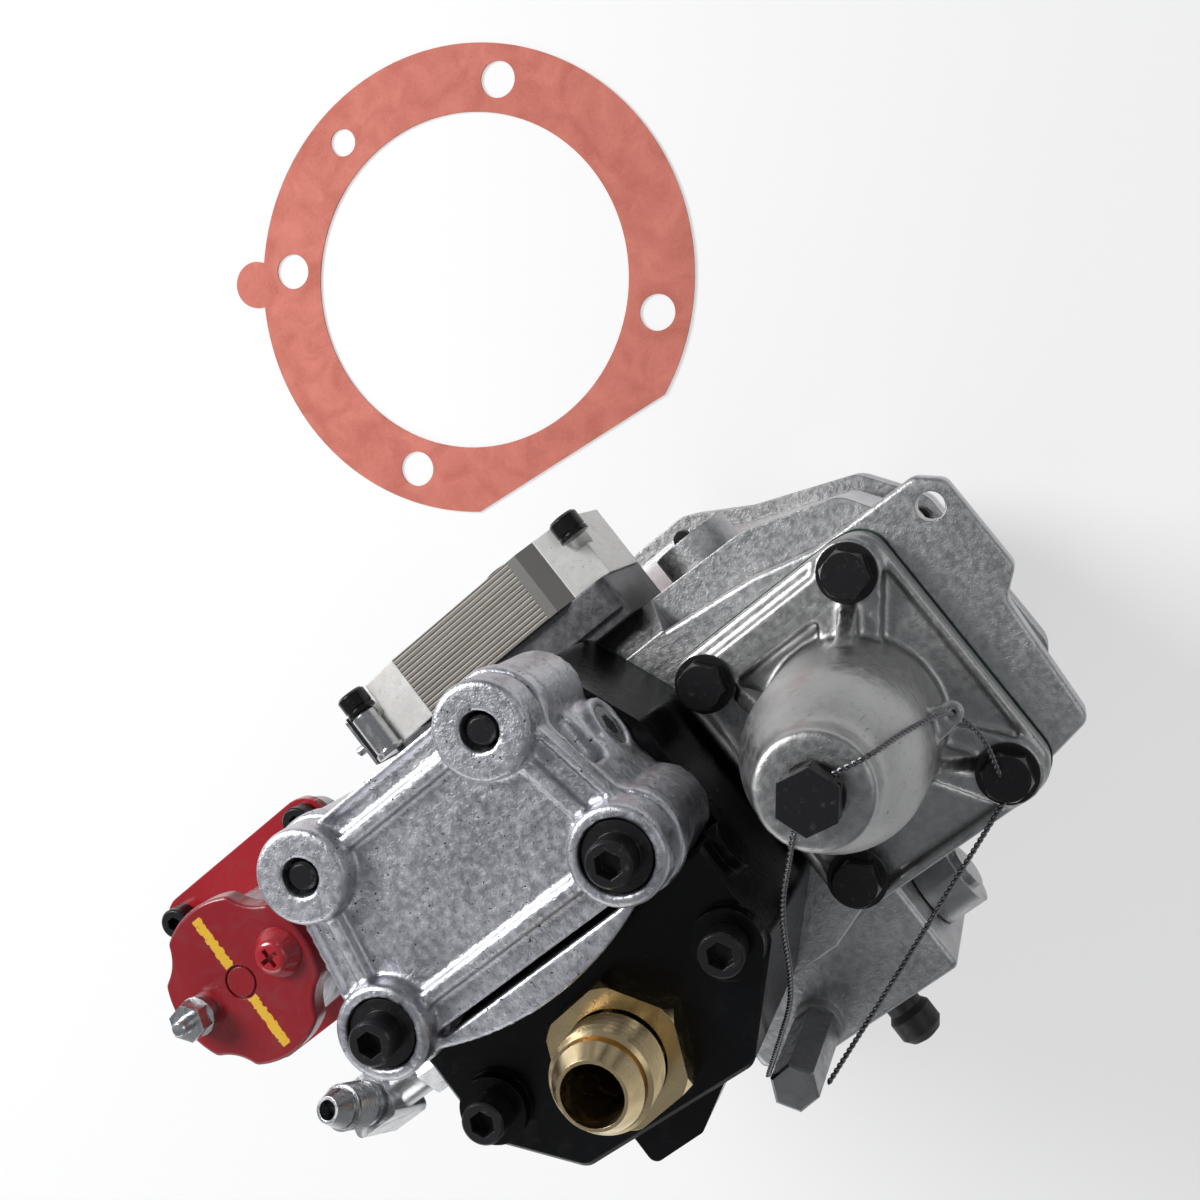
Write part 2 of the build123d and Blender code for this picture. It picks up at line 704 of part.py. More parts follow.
def governor_plunger():
    top = plunger_flange_z + plunger_flange_thick
    steps = [(0, carrier_disc_from - 4), (plunger_tail_radius, carrier_disc_from - 4),
             (plunger_tail_radius, plunger_flange_z), (plunger_flange_radius, plunger_flange_z),
             (plunger_flange_radius, top), (plunger_radius, top), (plunger_radius, barrel_to - 14),
             (plunger_radius - 1.5, barrel_to - 13), (plunger_radius - 1.5, barrel_to - 8),
             (plunger_radius, barrel_to - 7), (plunger_radius, plunger_end), (0, plunger_end)]
    return turned(steps, governor_at)


def governor_barrel():
    sleeve = ring(barrel_radius, plunger_radius + running, governor_at, barrel_from, barrel_to)
    for port in (0, 1):
        middle = (governor_x, governor_drop, barrel_from + 14 + 16 * port)
        direction = x_axis.rotate(Axis.Z, 45)
        sleeve -= rod(2, Vector(middle) - direction * 15, direction, 30)
    return sleeve


def spring_seat():
    top = plunger_end + spring_seat_thick
    guide = spring_radius - spring_wire_radius - 0.5
    steps = [(0, plunger_end), (spring_seat_radius, plunger_end), (spring_seat_radius, top),
             (guide, top), (guide, top + 3), (0, top + 3)]
    return turned(steps, governor_at)


def governor_spring():
    height = spring_to - spring_from - 2 * spring_wire_radius - 2 * idle_gap
    path = Helix(height / spring_turns, height, spring_radius)
    wire = sweep((path ^ 0) * Circle(spring_wire_radius), path)
    return Pos(governor_x, governor_drop, spring_from + spring_wire_radius + idle_gap) * wire


# ---------------------------------------------------------------- spring cover
def spring_bolt_places():
    half_x, half_y = cover_bolt_span[0] / 2, cover_bolt_span[1] / 2
    return [(governor_x + i * half_x, governor_drop + j * half_y) for i in (-1, 1) for j in (-1, 1)]


def spring_flange_sheet():
    corners = [(place, cover_bolt_boss) for place in spring_bolt_places()]
    right = (governor_x + cover_bolt_span[0] / 2 + 3, governor_drop)
    reach = cover_bolt_span[1] / 2
    corners += [((right[0], right[1] + side * reach), cover_bolt_boss - 0.5) for side in (-1, 1)]
    return disc_hull(corners)


# The lathe-turned look of the dome: a slow taper, a round shoulder and a machined neck.
def dome_profile():
    foot = spring_foot
    shoulder = housing_rear + dome_shoulder_at
    neck = housing_rear + dome_neck_at
    top = housing_rear + dome_top_at
    with BuildLine(Plane.XZ) as outline:
        Line((0, foot), (dome_radius, foot))
        Line((dome_radius, foot), (dome_top_radius, shoulder))
        Spline((dome_top_radius, shoulder), (dome_top_radius - 2.2, shoulder + 12),
               (dome_neck_radius + 2.2, neck - 6), (dome_neck_radius, neck), tangents=((-0.05, 1), (-0.1, 1)))
        Line((dome_neck_radius, neck), (dome_neck_radius, top - 1))
        Line((dome_neck_radius, top - 1), (dome_neck_radius - 1, top))
        Line((dome_neck_radius - 1, top), (0, top))
        Line((0, top), (0, foot))
    return make_face(outline.line)


# A triangular web in the upright plane through the dome's axis and a bolt.
def spring_gusset(place, foot):
    across, along = place[0] - governor_x, place[1] - governor_drop
    reach = hypot(across, along)
    inner = dome_radius - 5
    sheet = Polygon((inner, foot), (reach - cover_bolt_boss + 1, foot), (inner, foot + gusset_height), align=None)
    upright = Plane(origin=(0, gusset_thick / 2, 0), x_dir=x_axis, z_dir=-y_axis)
    web = extrude(upright * sheet, gusset_thick)
    return Pos(*governor_at) * Rot(0, 0, degrees(atan2(along, across))) * web


def spring_cover():
    base = slab(spring_flange_sheet(), spring_foot, spring_foot + spring_flange_thick)
    rim = spring_flange_sheet() - offset(spring_flange_sheet(), -spring_rim_width)
    base += slab(rim, spring_foot, spring_foot + spring_flange_thick + spring_rim_margin)
    pad_top = spring_foot + spring_pad_thick
    for place in spring_bolt_places():
        pad = disc_hull([(place, cover_bolt_boss), (governor_at, 7)])
        base += slab(pad, spring_foot, pad_top)
    upper = spring_bolt_places()[1::2]
    bar = disc_hull([(upper[0], gusset_thick), (upper[1], gusset_thick)])
    base += slab(bar, spring_foot, pad_top)
    for place in spring_bolt_places():
        base += spring_gusset(place, pad_top)
    dome = revolve(dome_profile(), Axis.Z)
    cover = base + Pos(governor_x, governor_drop, 0) * dome
    lug_z = housing_rear + lug_height
    lug = Plane(origin=(governor_x, governor_drop - 10, lug_z), x_dir=x_axis, z_dir=z_axis)
    ear = lug * disc_hull([((dome_radius - 8, 0), 5), ((dome_radius + 2.5, 0), 3.2)])
    cover += extrude(ear, lug_thick_z)
    hole = (governor_x + dome_radius + 2.5, governor_drop - 10)
    cover -= post(1.3, hole, lug_z, lug_z + lug_thick_z)
    cover -= post(dome_bore_radius, governor_at, spring_foot, housing_rear + dome_shoulder_at)
    cover -= post(dome_upper_bore_radius, governor_at, spring_foot, spring_to)
    cover -= post(plug_thread_radius + seated, governor_at, spring_to, housing_rear + dome_top_at)
    for place in spring_bolt_places():
        cover -= post(socket_screw_radius + drilled, place, spring_foot, pad_top)
    return cover


def spring_cover_gasket():
    sheet = offset(spring_flange_sheet(), 0.4) - Pos(*governor_at) * Circle(dome_bore_radius)
    for place in spring_bolt_places():
        sheet -= Pos(*place) * Circle(socket_screw_radius + drilled)
    return slab(sheet, housing_rear, spring_foot)


def spring_cover_bolts():
    bolts = []
    for x, y in spring_bolt_places():
        length = spring_pad_thick + gasket_thick + 16
        bolts.append(Pos(x, y, spring_foot + spring_pad_thick) * Rot(0, 0, 12) * flange_bolt(length))
    return bolts


def spring_cover_plug():
    top = housing_rear + dome_top_at
    plug = post(plug_across_flats / 2 * 1.1, governor_at, top, top + 1.5)
    head = Pos(*governor_at, top + 1.5) * extrude(hexagon(plug_across_flats, 50), plug_height - 1.5)
    plug += head + post(plug_thread_radius, governor_at, spring_to + 1, top)
    for angle in (50, 110, 170):
        direction = x_axis.rotate(Axis.Z, angle)
        middle = Vector(governor_x, governor_drop, top + plug_height - 3)
        plug -= rod(0.9, middle - direction * 12, direction, 24)
    return plug


# ---------------------------------------------------------------- gear pump
def pump_screw_places():
    return [(-pump_screw_at[0], pump_screw_at[1]), pump_screw_at]


def damper_places():
    upper = [(side * damper_upper[0], damper_upper[1]) for side in (-1, 1)]
    lower = [(side * damper_lower[0], damper_lower[1]) for side in (-1, 1)]
    return upper, lower


def pump_sheet():
    sheet = rounded(pump_outline, pump_corner)
    for place in pump_screw_places():
        sheet += Pos(*place) * Circle(pump_screw_boss)
    return sheet


def screw_hole_sheet(clearance):
    upper, lower = damper_places()
    holes = Sketch()
    for place in pump_screw_places() + upper + lower:
        holes += Pos(*place) * Circle(socket_screw_radius + clearance)
    return holes


def gear_pump_body():
    body = slab(pump_sheet(), pump_front, pump_joint)
    body += slab(rounded(sump_outline, 2.5), pump_front + 6, pump_joint)
    chamber_radius = pump_gear_centres / 2 + 0.8 * pump_gear_module + running
    for y in (0, pump_gear_centres):
        body -= post(chamber_radius, (0, y), gears_front, pump_joint)
        body -= post(shaft_pump_radius + running, (0, y), pump_front, gears_front)
    return body - slab(screw_hole_sheet(drilled), pump_front, pump_joint)


def gear_pump_gasket():
    sheet = pump_sheet() - screw_hole_sheet(drilled)
    sheet -= Circle(shaft_pump_radius + 2)
    return slab(sheet, housing_rear, pump_front)


def pump_gear(y, turn):
    blank = gear_sheet(pump_gear_module, pump_gear_teeth, 0.8, gear_backlash * 1.6, turn)
    width = pump_gear_width - 2 * running
    return Pos(0, y, 0) * slab(blank, gears_front + running, gears_front + running + width)


def pump_drive_gear():
    return pump_gear(0, pi / 2) - post(shaft_pump_radius, (0, 0), gears_front, gears_rear)


def pump_idler_gear():
    gear = pump_gear(pump_gear_centres, -pi / 2 + pi / pump_gear_teeth)
    journal = post(shaft_pump_radius, (0, pump_gear_centres), pump_front + 1, pump_joint + 4)
    return gear + journal


def gear_pump_cover():
    upper = pump_joint + pump_cover_upper
    body = slab(pump_sheet(), pump_joint, upper)
    lower = Pos(0, pump_cover_split - 60) * Rectangle(400, 120)
    thick = pump_sheet() & lower
    block = slab(thick, pump_joint, pump_face)
    block = chamfer(block.edges().group_by(Axis.Z)[-1], 1.2)
    body += block
    body += slab(rounded(sump_outline, 2.5), pump_joint, pump_face - 5)
    for place in pump_screw_places():
        body += post(pump_screw_boss, place, pump_joint, pump_face + pump_screw_boss_height)
    body -= post(inlet_shank_radius + seated, inlet_at, pump_face - 20, pump_face)
    for y in (0, pump_gear_centres):
        body -= post(shaft_pump_radius + running, (0, y), pump_joint, pump_joint + 5)
    body -= rod(5, (-pump_half_width, elbow_y, elbow_z), x_axis, 12)
    plug_y, plug_rise = side_plug_at
    plug_foot = (pump_half_width - 4, plug_y, pump_joint + plug_rise)
    body += rod(side_plug_radius, plug_foot, x_axis, 7)
    top = pump_face + pump_screw_boss_height
    return body - slab(screw_hole_sheet(drilled), pump_joint, top)


def gear_pump_bolts():
    seat = pump_face + pump_screw_boss_height
    length = seat - housing_rear + 14
    return [Pos(x, y, seat) * cap_screw(length) for x, y in pump_screw_places()]


# Brass adapter: hexagon, thread, groove and the 37 degree nose of a flared fitting.
def inlet_fitting():
    face = pump_face
    hex_top = face + inlet_hex_height
    thread_top = hex_top + inlet_thread_length
    top = thread_top + inlet_nose_length
    r = inlet_thread_radius
    steps = [(inlet_bore_radius, face - 18), (inlet_shank_radius, face - 18), (inlet_shank_radius, face),
             (r, face), (r, thread_top - 1), (r - 1, thread_top), (r - 2.4, thread_top),
             (r - 2.4, thread_top + 1.6), (r - 1.6, thread_top + 1.6),
             (inlet_bore_radius + 0.9, top), (inlet_bore_radius, top)]
    body = turned(steps, inlet_at)
    nut = Pos(*inlet_at, face) * extrude(hexagon(inlet_across_flats, inlet_hex_turn - 30), inlet_hex_height)
    crown = Cone(inlet_across_flats * 0.68, inlet_across_flats * 0.5, inlet_hex_height + 3,
                 align=(Align.CENTER, Align.CENTER, Align.MIN))
    nut = (nut & (Pos(*inlet_at, face) * crown)) - post(inlet_bore_radius, inlet_at, face, hex_top)
    return body + nut


# ---------------------------------------------------------------- pulsation damper
def damper_wall(inset=0.0):
    upper, lower = damper_places()
    return disc_hull([(place, damper_boss_radius - damper_wall_step - inset) for place in upper + lower])


def damper_sheet():
    upper, lower = damper_places()
    sheet = damper_wall()
    for place in upper + lower:
        sheet += Pos(*place) * Circle(damper_boss_radius)
    return sheet


def damper_body():
    body = slab(damper_sheet(), damper_foot, damper_joint)
    below = Pos(0, pump_cover_split - 60) * Rectangle(400, 120)
    body -= slab(below, damper_foot, pump_face + pump_screw_boss_height + 0.5)
    centre = (0, damper_centre_y)
    body -= post(damper_chamber_radius, centre, damper_joint - damper_chamber_depth, damper_joint)
    groove = ring(o_ring_radius + o_ring_section, o_ring_radius - o_ring_section, centre,
                  damper_joint - 2 * o_ring_section - diaphragm_thick, damper_joint)
    body -= groove
    body -= post(diaphragm_radius, centre, damper_joint - diaphragm_thick, damper_joint)
    port_y, port_rise = port_at
    wall = damper_wall_x(port_y)
    body += rod(port_radius + 3, (wall - 6, port_y, damper_foot + port_rise), x_axis, 8.5)
    body -= rod(port_radius + seated, (wall - 5, port_y, damper_foot + port_rise), x_axis, 12)
    window_y, window_rise = window_at
    window_floor = (damper_wall_x(window_y) - window_depth, window_y, damper_foot + window_rise)
    face = Plane(origin=window_floor, x_dir=y_axis, z_dir=x_axis)
    body -= extrude(face * RectangleRounded(*window_size, 2.5), window_depth * 3)
    upper, lower = damper_places()
    collar = damper_boss_radius + damper_collar_step
    for place in upper + lower:
        body += post(collar, place, damper_joint - damper_collar_height, damper_joint)
    return body - slab(screw_hole_sheet(drilled), damper_foot, damper_joint)


# x of the damper's side wall at a height between the lower and the upper bosses
def damper_wall_x(y):
    share = (y - damper_lower[1]) / (damper_upper[1] - damper_lower[1])
    middle = damper_lower[0] + (damper_upper[0] - damper_lower[0]) * share
    return middle + damper_boss_radius - damper_wall_step


def damper_port_plug():
    port_y, port_rise = port_at
    start = damper_wall_x(port_y) - 5
    plug = rod(port_radius, (start, port_y, damper_foot + port_rise), x_axis, 7)
    key = Plane(origin=(start + 3, port_y, damper_foot + port_rise), z_dir=x_axis) * hexagon(6)
    return plug - extrude(key, 5)


def damper_diaphragm():
    centre = (0, damper_centre_y)
    return post(diaphragm_radius - seated, centre, damper_joint - diaphragm_thick, damper_joint)


def damper_o_ring():
    level = damper_joint - diaphragm_thick - o_ring_section
    return Pos(0, damper_centre_y, level) * Torus(o_ring_radius, o_ring_section)


# The die-cast cover: bosses joined by ribs, with a skirt that bulges over the gear pump.
def damper_cover():
    upper, lower = damper_places()
    places = [upper[0], upper[1], lower[1], lower[0]]
    skirt_left = (lower[0][0] + 3, lower[0][1] - damper_boss_radius + 2)
    skirt_right = (lower[1][0] - 3, lower[1][1] - damper_boss_radius + 2)
    arc = ThreePointArc(skirt_left, (0, damper_skirt_drop), skirt_right)
    bow = make_face(arc + Line(skirt_right, skirt_left))
    sheet = damper_sheet() + bow
    plate = slab(sheet, damper_joint, damper_joint + damper_cover_thick)
    ribs = Sketch()
    for start, end in zip(places, places[1:] + places[:1]):
        ribs += disc_hull([(start, damper_rib_width / 2), (end, damper_rib_width / 2)])
    plate += slab(ribs, damper_joint, damper_joint + damper_rib_height)
    rim = damper_wall() - damper_wall(damper_rim_width)
    rim -= Pos(0, damper_lower[1] - flange_radius) * Rectangle(2 * flange_radius, 2 * flange_radius)
    plate += slab(rim, damper_joint, damper_joint + damper_rim_height)
    for place in places:
        boss = post(damper_boss_radius, place, damper_joint, damper_top)
        plate += chamfer(boss.edges().group_by(Axis.Z)[-1], 1.0)
    for place in lower:
        plate -= post(damper_pocket_radius, place, damper_top - damper_pocket_depth, damper_top)
        plate -= post(socket_screw_radius + drilled, place, damper_joint, damper_top)
    for place in upper:
        plate -= post(damper_eye_radius, place, damper_top - damper_eye_depth, damper_top)
        plate -= post(socket_screw_radius + drilled, place, damper_joint, damper_top)
    return plate


def damper_bolts():
    upper, lower = damper_places()
    bolts = []
    for x, y in lower:
        washer_from = damper_top - damper_pocket_depth
        seat = washer_from + damper_washer_thick
        bolts.append(ring(damper_washer_radius, socket_screw_radius + drilled, (x, y), washer_from, seat))
        bolts.append(Pos(x, y, seat) * cap_screw(seat - pump_front - 4))
    for place in upper:
        end = post(socket_screw_radius, place, pump_front + 1, damper_top - 1)
        bolts.append(chamfer(end.edges().group_by(Axis.Z)[-1], 0.8))
    return bolts


# ---------------------------------------------------------------- elbow fitting
def outlet_elbow():
    wall = -pump_half_width
    seat = Plane(origin=(wall, elbow_y, elbow_z), z_dir=-x_axis)
    nut = extrude(seat * hexagon(elbow_nut_across_flats), elbow_nut_length)
    nut -= rod(5, (wall + 1, elbow_y, elbow_z), -x_axis, elbow_nut_length + 2)
    arm = rod(5 - seated, (wall + 10, elbow_y, elbow_z), -x_axis, wall + 10 - elbow_x)
    leg_way = z_axis.rotate(Axis.X, -elbow_leg_tilt)
    centre = Vector(elbow_x, elbow_y, elbow_z)
    block = Plane(origin=centre - leg_way * elbow_block / 2, x_dir=x_axis, z_dir=leg_way)
    body = extrude(block * RectangleRounded(elbow_block, elbow_block, 2), elbow_block)
    body += rod(6, centre + x_axis * 6, x_axis, wall - elbow_nut_length - 1 - elbow_x - 6)
    r = elbow_thread_radius
    thread_from = elbow_block / 2 + elbow_relief_length
    steps = [(elbow_bore_radius, 0), (r - 0.8, 0), (r - 0.8, thread_from), (r, thread_from),
             (r, elbow_leg_length - 6), (r - 1.6, elbow_leg_length - 6),
             (r - 1.6, elbow_leg_length - 4.6), (r - 0.9, elbow_leg_length - 4.6),
             (elbow_bore_radius + 0.9, elbow_leg_length), (elbow_bore_radius, elbow_leg_length)]
    sheet = make_face(Polyline(*[(a, 0, b) for a, b in steps], close=True))
    leg = Plane(origin=centre, x_dir=x_axis, z_dir=leg_way) * revolve(sheet, Axis.Z)
    core = rod(elbow_bore_radius, centre, leg_way, elbow_leg_length)
    return [body + arm + leg - core, nut]


# ---------------------------------------------------------------- shut-off valve
def shutoff_valve_body():
    x, y = valve_axis
    square = Pos(*shield_at) * RectangleRounded(shield_size[0] - 3, shield_size[1] - 3, shield_corner)
    barrel = Pos(x, y) * RectangleRounded(*valve_barrel, 12)
    body = slab(square, valve_body_to - 8, valve_body_to)
    body += slab(barrel, valve_body_from, valve_body_to - 7)
    side = body_outline[0][0]
    foot = Pos((side + x) / 2, y - 2, (valve_body_from + housing_rear) / 2)
    body += foot * Box(side - x, 34, housing_rear - valve_body_from)
    chamber_floor = valve_body_to - valve_chamber_depth
    body -= ring(valve_chamber_radius, valve_seat_radius, valve_axis, chamber_floor, valve_body_to)
    body -= post(valve_seat_radius, valve_axis, valve_disc_seat, valve_body_to)
    body -= post(valve_stem_radius + 2, valve_axis, valve_body_from + 10, valve_disc_seat)
    half = valve_barrel[1] / 2
    body -= rod(outlet_radius, (x, y - half, valve_body_from + 18), y_axis, half)
    for place in shield_screw_places():
        body -= post(small_screw_radius + seated, place, valve_body_to - 8, valve_body_to)
    return body


def shield_screw_places():
    across = shield_size[0] / 2 - shield_screw_inset
    along = shield_size[1] / 2 - shield_screw_inset
    return [(shield_at[0] + i * across, shield_at[1] + j * along) for i in (-1, 1) for j in (-1, 1)]


def shutoff_shield():
    sheet = Pos(*shield_at) * RectangleRounded(*shield_size, shield_corner)
    sheet -= Pos(*valve_axis) * Circle(coil_radius - 4)
    for place in shield_screw_places():
        sheet -= Pos(*place) * Circle(small_screw_radius + drilled)
    return slab(sheet, valve_body_to, valve_body_to + shield_thick)


def shutoff_screws():
    screws = []
    for x, y in shield_screw_places():
        screw = socket_screw(small_head_radius, small_head_height, small_screw_radius, shield_thick + 7, 4.0)
        screws.append(Pos(x, y, valve_body_to + shield_thick) * screw)
    return screws


def coil_cap_sheet():
    sheet = Circle(coil_cap_radius)
    for corner in range(4):
        angle = radians(45 + 90 * corner)
        sheet -= Pos(scallop_reach * cos(angle), scallop_reach * sin(angle)) * Circle(scallop_radius)
    return Pos(*valve_axis) * fillet(sheet.vertices(), 3)


def shutoff_coil():
    foot = valve_body_to + shield_thick
    can = post(coil_radius, valve_axis, foot, foot + coil_height)
    return can - post(8, valve_axis, foot, foot + 20)


def shutoff_cap():
    foot = valve_body_to + shield_thick + coil_height
    cap = slab(coil_cap_sheet(), foot, cap_face)
    cap = fillet(cap.edges().group_by(Axis.Z)[-1], 1.0)
    cap -= ring(4.9, 4.3, valve_axis, cap_face - 0.8, cap_face)
    cap -= post(stud_radius + 1, (valve_axis[0] + stud_offset, valve_axis[1]), foot, cap_face)
    cap -= post(2.5 + seated, (valve_axis[0] + cap_screw_offset, valve_axis[1]), foot, cap_face)
    return cap


def shutoff_cap_screw():
    x, y = valve_axis[0] + cap_screw_offset, valve_axis[1]
    head = Pos(x, y, cap_face) * Cone(cap_screw_radius, cap_screw_radius * 0.6, cap_screw_height,
                                      align=(Align.CENTER, Align.CENTER, Align.MIN))
    head = fillet(head.edges().group_by(Axis.Z)[-1], 2.2)
    for size in ((5.6, 1.3), (1.3, 5.6)):
        head -= Pos(x, y, cap_face + cap_screw_height) * Box(size[0], size[1], 3.2)
    return head + post(2.5, (x, y), cap_face - coil_cap_thick + 1, cap_face)


def terminal_stud():
    at = (valve_axis[0] + stud_offset, valve_axis[1])
    tip_from = cap_face + stud_height - stud_tip_length
    stud = post(stud_radius, at, cap_face - coil_cap_thick, tip_from)
    stud += post(stud_tip_radius, at, tip_from, cap_face + stud_height)
    sleeve = ring(insulator_radius, stud_radius, at, cap_face, cap_face + insulator_height)
    return [chamfer(stud.edges().group_by(Axis.Z)[-1], 0.5), sleeve]


def terminal_nut():
    at = (valve_axis[0] + stud_offset, valve_axis[1])
    low = cap_face + insulator_height
    nut = Pos(*at, low + 1.2) * extrude(hexagon(stud_nut_across_flats, 10), stud_nut_height)
    washer = post(stud_nut_across_flats / 2 + 0.9, at, low, low + 1.2)
    return nut + washer - post(stud_radius, at, low, low + 9)


def shutoff_disc():
    disc = post(valve_disc_radius, valve_axis, valve_disc_seat, valve_disc_seat + valve_disc_thick)
    return disc + post(valve_stem_radius, valve_axis, valve_disc_seat - 8, valve_disc_seat)


# ---------------------------------------------------------------- governor actuator
def from_top(sheet, y_from, y_to):
    flat = Plane(origin=(0, y_from, 0), x_dir=x_axis, z_dir=y_axis)
    mirrored = mirror(sheet, about=Plane.XZ)
    return extrude(flat * mirrored, y_to - y_from)


def actuator_sheet(span):
    left, right = actuator_span
    low, high = actuator_front + actuator_chamfer, actuator_rear - actuator_chamfer
    whole = Polygon((left, low), (left + actuator_chamfer, actuator_front),
                    (right - actuator_chamfer, actuator_front), (right, low), (right, high),
                    (actuator_core_span[1] - 6, actuator_rear), (actuator_core_span[0], actuator_rear),
                    (left, high), align=None)
    strip = Pos((span[0] + span[1]) / 2, (low + high) / 2) * Rectangle(span[1] - span[0], 100)
    return whole & strip


def actuator_core():
    core = from_top(actuator_sheet(actuator_core_span), core_foot, core_top)
    x, z = rotor_axis
    core -= rod(rotor_bore_radius, (x, core_foot, z), y_axis, actuator_core_height - 3)
    for x, z in actuator_screw_places[2:]:
        core -= rod(small_screw_radius + drilled, (x, core_foot, z), y_axis, actuator_core_height)
    return core


def actuator_end_caps():
    caps = []
    ends = [(actuator_span[0], actuator_core_span[0]), (actuator_core_span[1], actuator_span[1])]
    for span, (x, z), block in zip(ends, actuator_screw_places, end_blocks(seated)):
        cap = from_top(actuator_sheet(span), core_foot, core_top)
        cap -= rod(small_head_radius + 1.2, (x, core_top - actuator_pocket, z), y_axis, actuator_pocket)
        cap -= rod(small_screw_radius + drilled, (x, core_foot, z), y_axis, actuator_core_height)
        caps.append(cap - block)
    return caps


def end_blocks(clearance):
    along_y, along_z = end_block_size
    top = core_top + end_block_proud
    blocks = []
    for x_from, x_to in end_block_places:
        middle = Pos((x_from + x_to) / 2, top - along_y / 2, actuator_rear + end_block_proud - along_z / 2)
        size = [length + 2 * clearance for length in (x_to - x_from, along_y, along_z)]
        blocks.append(middle * Box(*size))
    return blocks


def actuator_base():
    left, right = actuator_base_span
    low, high = actuator_front + actuator_base_inset, actuator_rear - actuator_base_inset
    sheet = Pos((left + right) / 2, (low + high) / 2) * RectangleRounded(right - left, high - low, 4)
    for x, z in actuator_screw_places:
        sheet += Pos(x, z) * Circle(small_head_radius + 0.6)
    base = from_top(sheet, body_top, core_foot)
    base -= Pos(0, pump_top + idle_gap - 5, housing_rear + 10) * Box(400, 10, 20)
    x, z = rotor_axis
    base -= rod(rotor_bore_radius, (x, core_foot - 3, z), y_axis, 3)
    base -= rod(rotor_shaft_radius + running, (x, body_top, z), y_axis, actuator_base_height)
    for x, z in actuator_screw_places:
        base -= rod(small_screw_radius + drilled, (x, body_top, z), y_axis, actuator_base_height)
    return base


def actuator_rotor():
    x, z = rotor_axis
    shaft = rod(rotor_shaft_radius, (x, body_top - 9, z), y_axis, core_foot - body_top + 9)
    bar = Circle(rotor_radius) & (Rot(0, 0, 30) * Rectangle(2 * rotor_radius, rotor_radius * 1.1))
    poles = from_top(Pos(x, z) * bar, core_foot - 2, core_top - 4)
    return shaft + poles


def actuator_screws():
    screws = []
    for number, (x, z) in enumerate(actuator_screw_places):
        seat = core_top - actuator_pocket if number < 2 else core_top
        length = seat - body_top + 12
        screw = socket_screw(small_head_radius, small_head_height, small_screw_radius, length, 4.0)
        screws.append(Plane(origin=(x, seat, z), z_dir=y_axis) * screw)
    return screws


def actuator_terminals():
    left = actuator_span[0]
    middle_z = (actuator_front + actuator_rear) / 2 + 4
    middle = Pos(left - terminal_plate_thick / 2, core_foot + 8.5, middle_z)
    plate = middle * Box(terminal_plate_thick, 17, 26)
    studs = []
    for dz in (-7, 7):
        studs.append(rod(1.6, (left - terminal_plate_thick, core_foot + 7, middle_z + dz), -x_axis, 7))
    return [plate] + studs + end_blocks(0)


# ---------------------------------------------------------------- throttle
def throttle_shaft():
    left = throttle_case_left + 9
    right = throttle_case_right + throttle_end_gap + lever_hub_length + 2
    return rod(throttle_radius, (left, throttle_y, throttle_z), x_axis, right - left)


def throttle_lever():
    x = throttle_case_right + throttle_end_gap
    side = Plane(origin=(x, throttle_y, throttle_z), x_dir=y_axis, z_dir=x_axis)
    angle = radians(lever_lean)
    tip = (lever_length * cos(angle), lever_length * sin(angle))
    arm = disc_hull([((0, 0), lever_hub_radius * 0.8), (tip, lever_tip_radius)]) - Pos(*tip) * Circle(3.2)
    lever = extrude(side * arm, lever_thick) + extrude(side * Circle(lever_hub_radius), lever_hub_length)
    return lever - extrude(side * Circle(throttle_radius), lever_hub_length)


def idle_screw_cap():
    foot = throttle_case_to + idle_boss_height
    cap = Pos(*idle_cap_at, foot) * extrude(hexagon(idle_cap_across_flats, 5), idle_cap_length)
    cap = chamfer(cap.edges().group_by(Axis.Z)[-1], 0.7)
    return cap + post(idle_screw_radius, idle_cap_at, foot - 12, foot)


def drain_cap():
    low = throttle_case_low
    x, z = drain_cap_at
    neck = drain_cap_neck
    barb = neck - 2 - seated
    steps = [(0, 6), (barb, 6), (barb, 0), (neck, 0), (neck, -5), (drain_cap_bulb, -7),
             (drain_cap_bulb, -13), (drain_cap_bulb - 2, -15.5), (2.5, -drain_cap_length + 0.5),
             (0, -drain_cap_length)]
    sheet = make_face(Polyline(*[(r, 0, h) for r, h in steps], close=True))
    return Plane(origin=(x, low, z), x_dir=x_axis, z_dir=y_axis) * revolve(sheet, Axis.Z)


# ---------------------------------------------------------------- seal wires
plug_eye = housing_rear + dome_top_at + plug_height - 3
cap_eye = throttle_case_to + idle_boss_height + idle_cap_length - 6
lug_at = (governor_x + dome_radius + 2.5, governor_drop - 10)
lug_over = (*lug_at, housing_rear + lug_height + lug_thick_z + 0.9)
lug_under = (*lug_at, housing_rear + lug_height - 0.9)
plug_to_lug = [(95.9, -6.6, plug_eye), (105.5, -8.5, plug_eye - 3), (110.5, -10.5, plug_eye - 20),
               (118, -14.5, plug_eye - 39), lug_over]
lug_to_bolt = [lug_under, (117, -29, housing_rear + 26), (113, -41, housing_rear + 21)]
plug_to_cap = [(80, -12, plug_eye), (62, -26, plug_eye - 12), (42, -50, plug_eye - 36),
               (idle_cap_at[0] - 6.6, idle_cap_at[1] + 5.5, cap_eye)]
bolt_to_cap = [(108.7, -48.0, housing_rear + 16.5), (84, -58, housing_rear + 17),
               (55, -70, housing_rear + 18), (idle_cap_at[0] + 6.7, idle_cap_at[1] - 5.6, cap_eye)]


def seal_wire(points):
    corners = points[1:-1]
    radii = []
    for before, corner, after in zip(points, corners, points[2:]):
        first = Vector(corner) - Vector(before)
        second = Vector(after) - Vector(corner)
        turn = radians(first.get_angle(second))
        radii.append(0.45 * min(first.length, second.length) / tan(turn / 2))
    path = FilletPolyline(*points, radius=radii)
    print("seal wire bends", [round(r) for r in radii])
    return sweep((path ^ 0) * Circle(wire_radius), path)


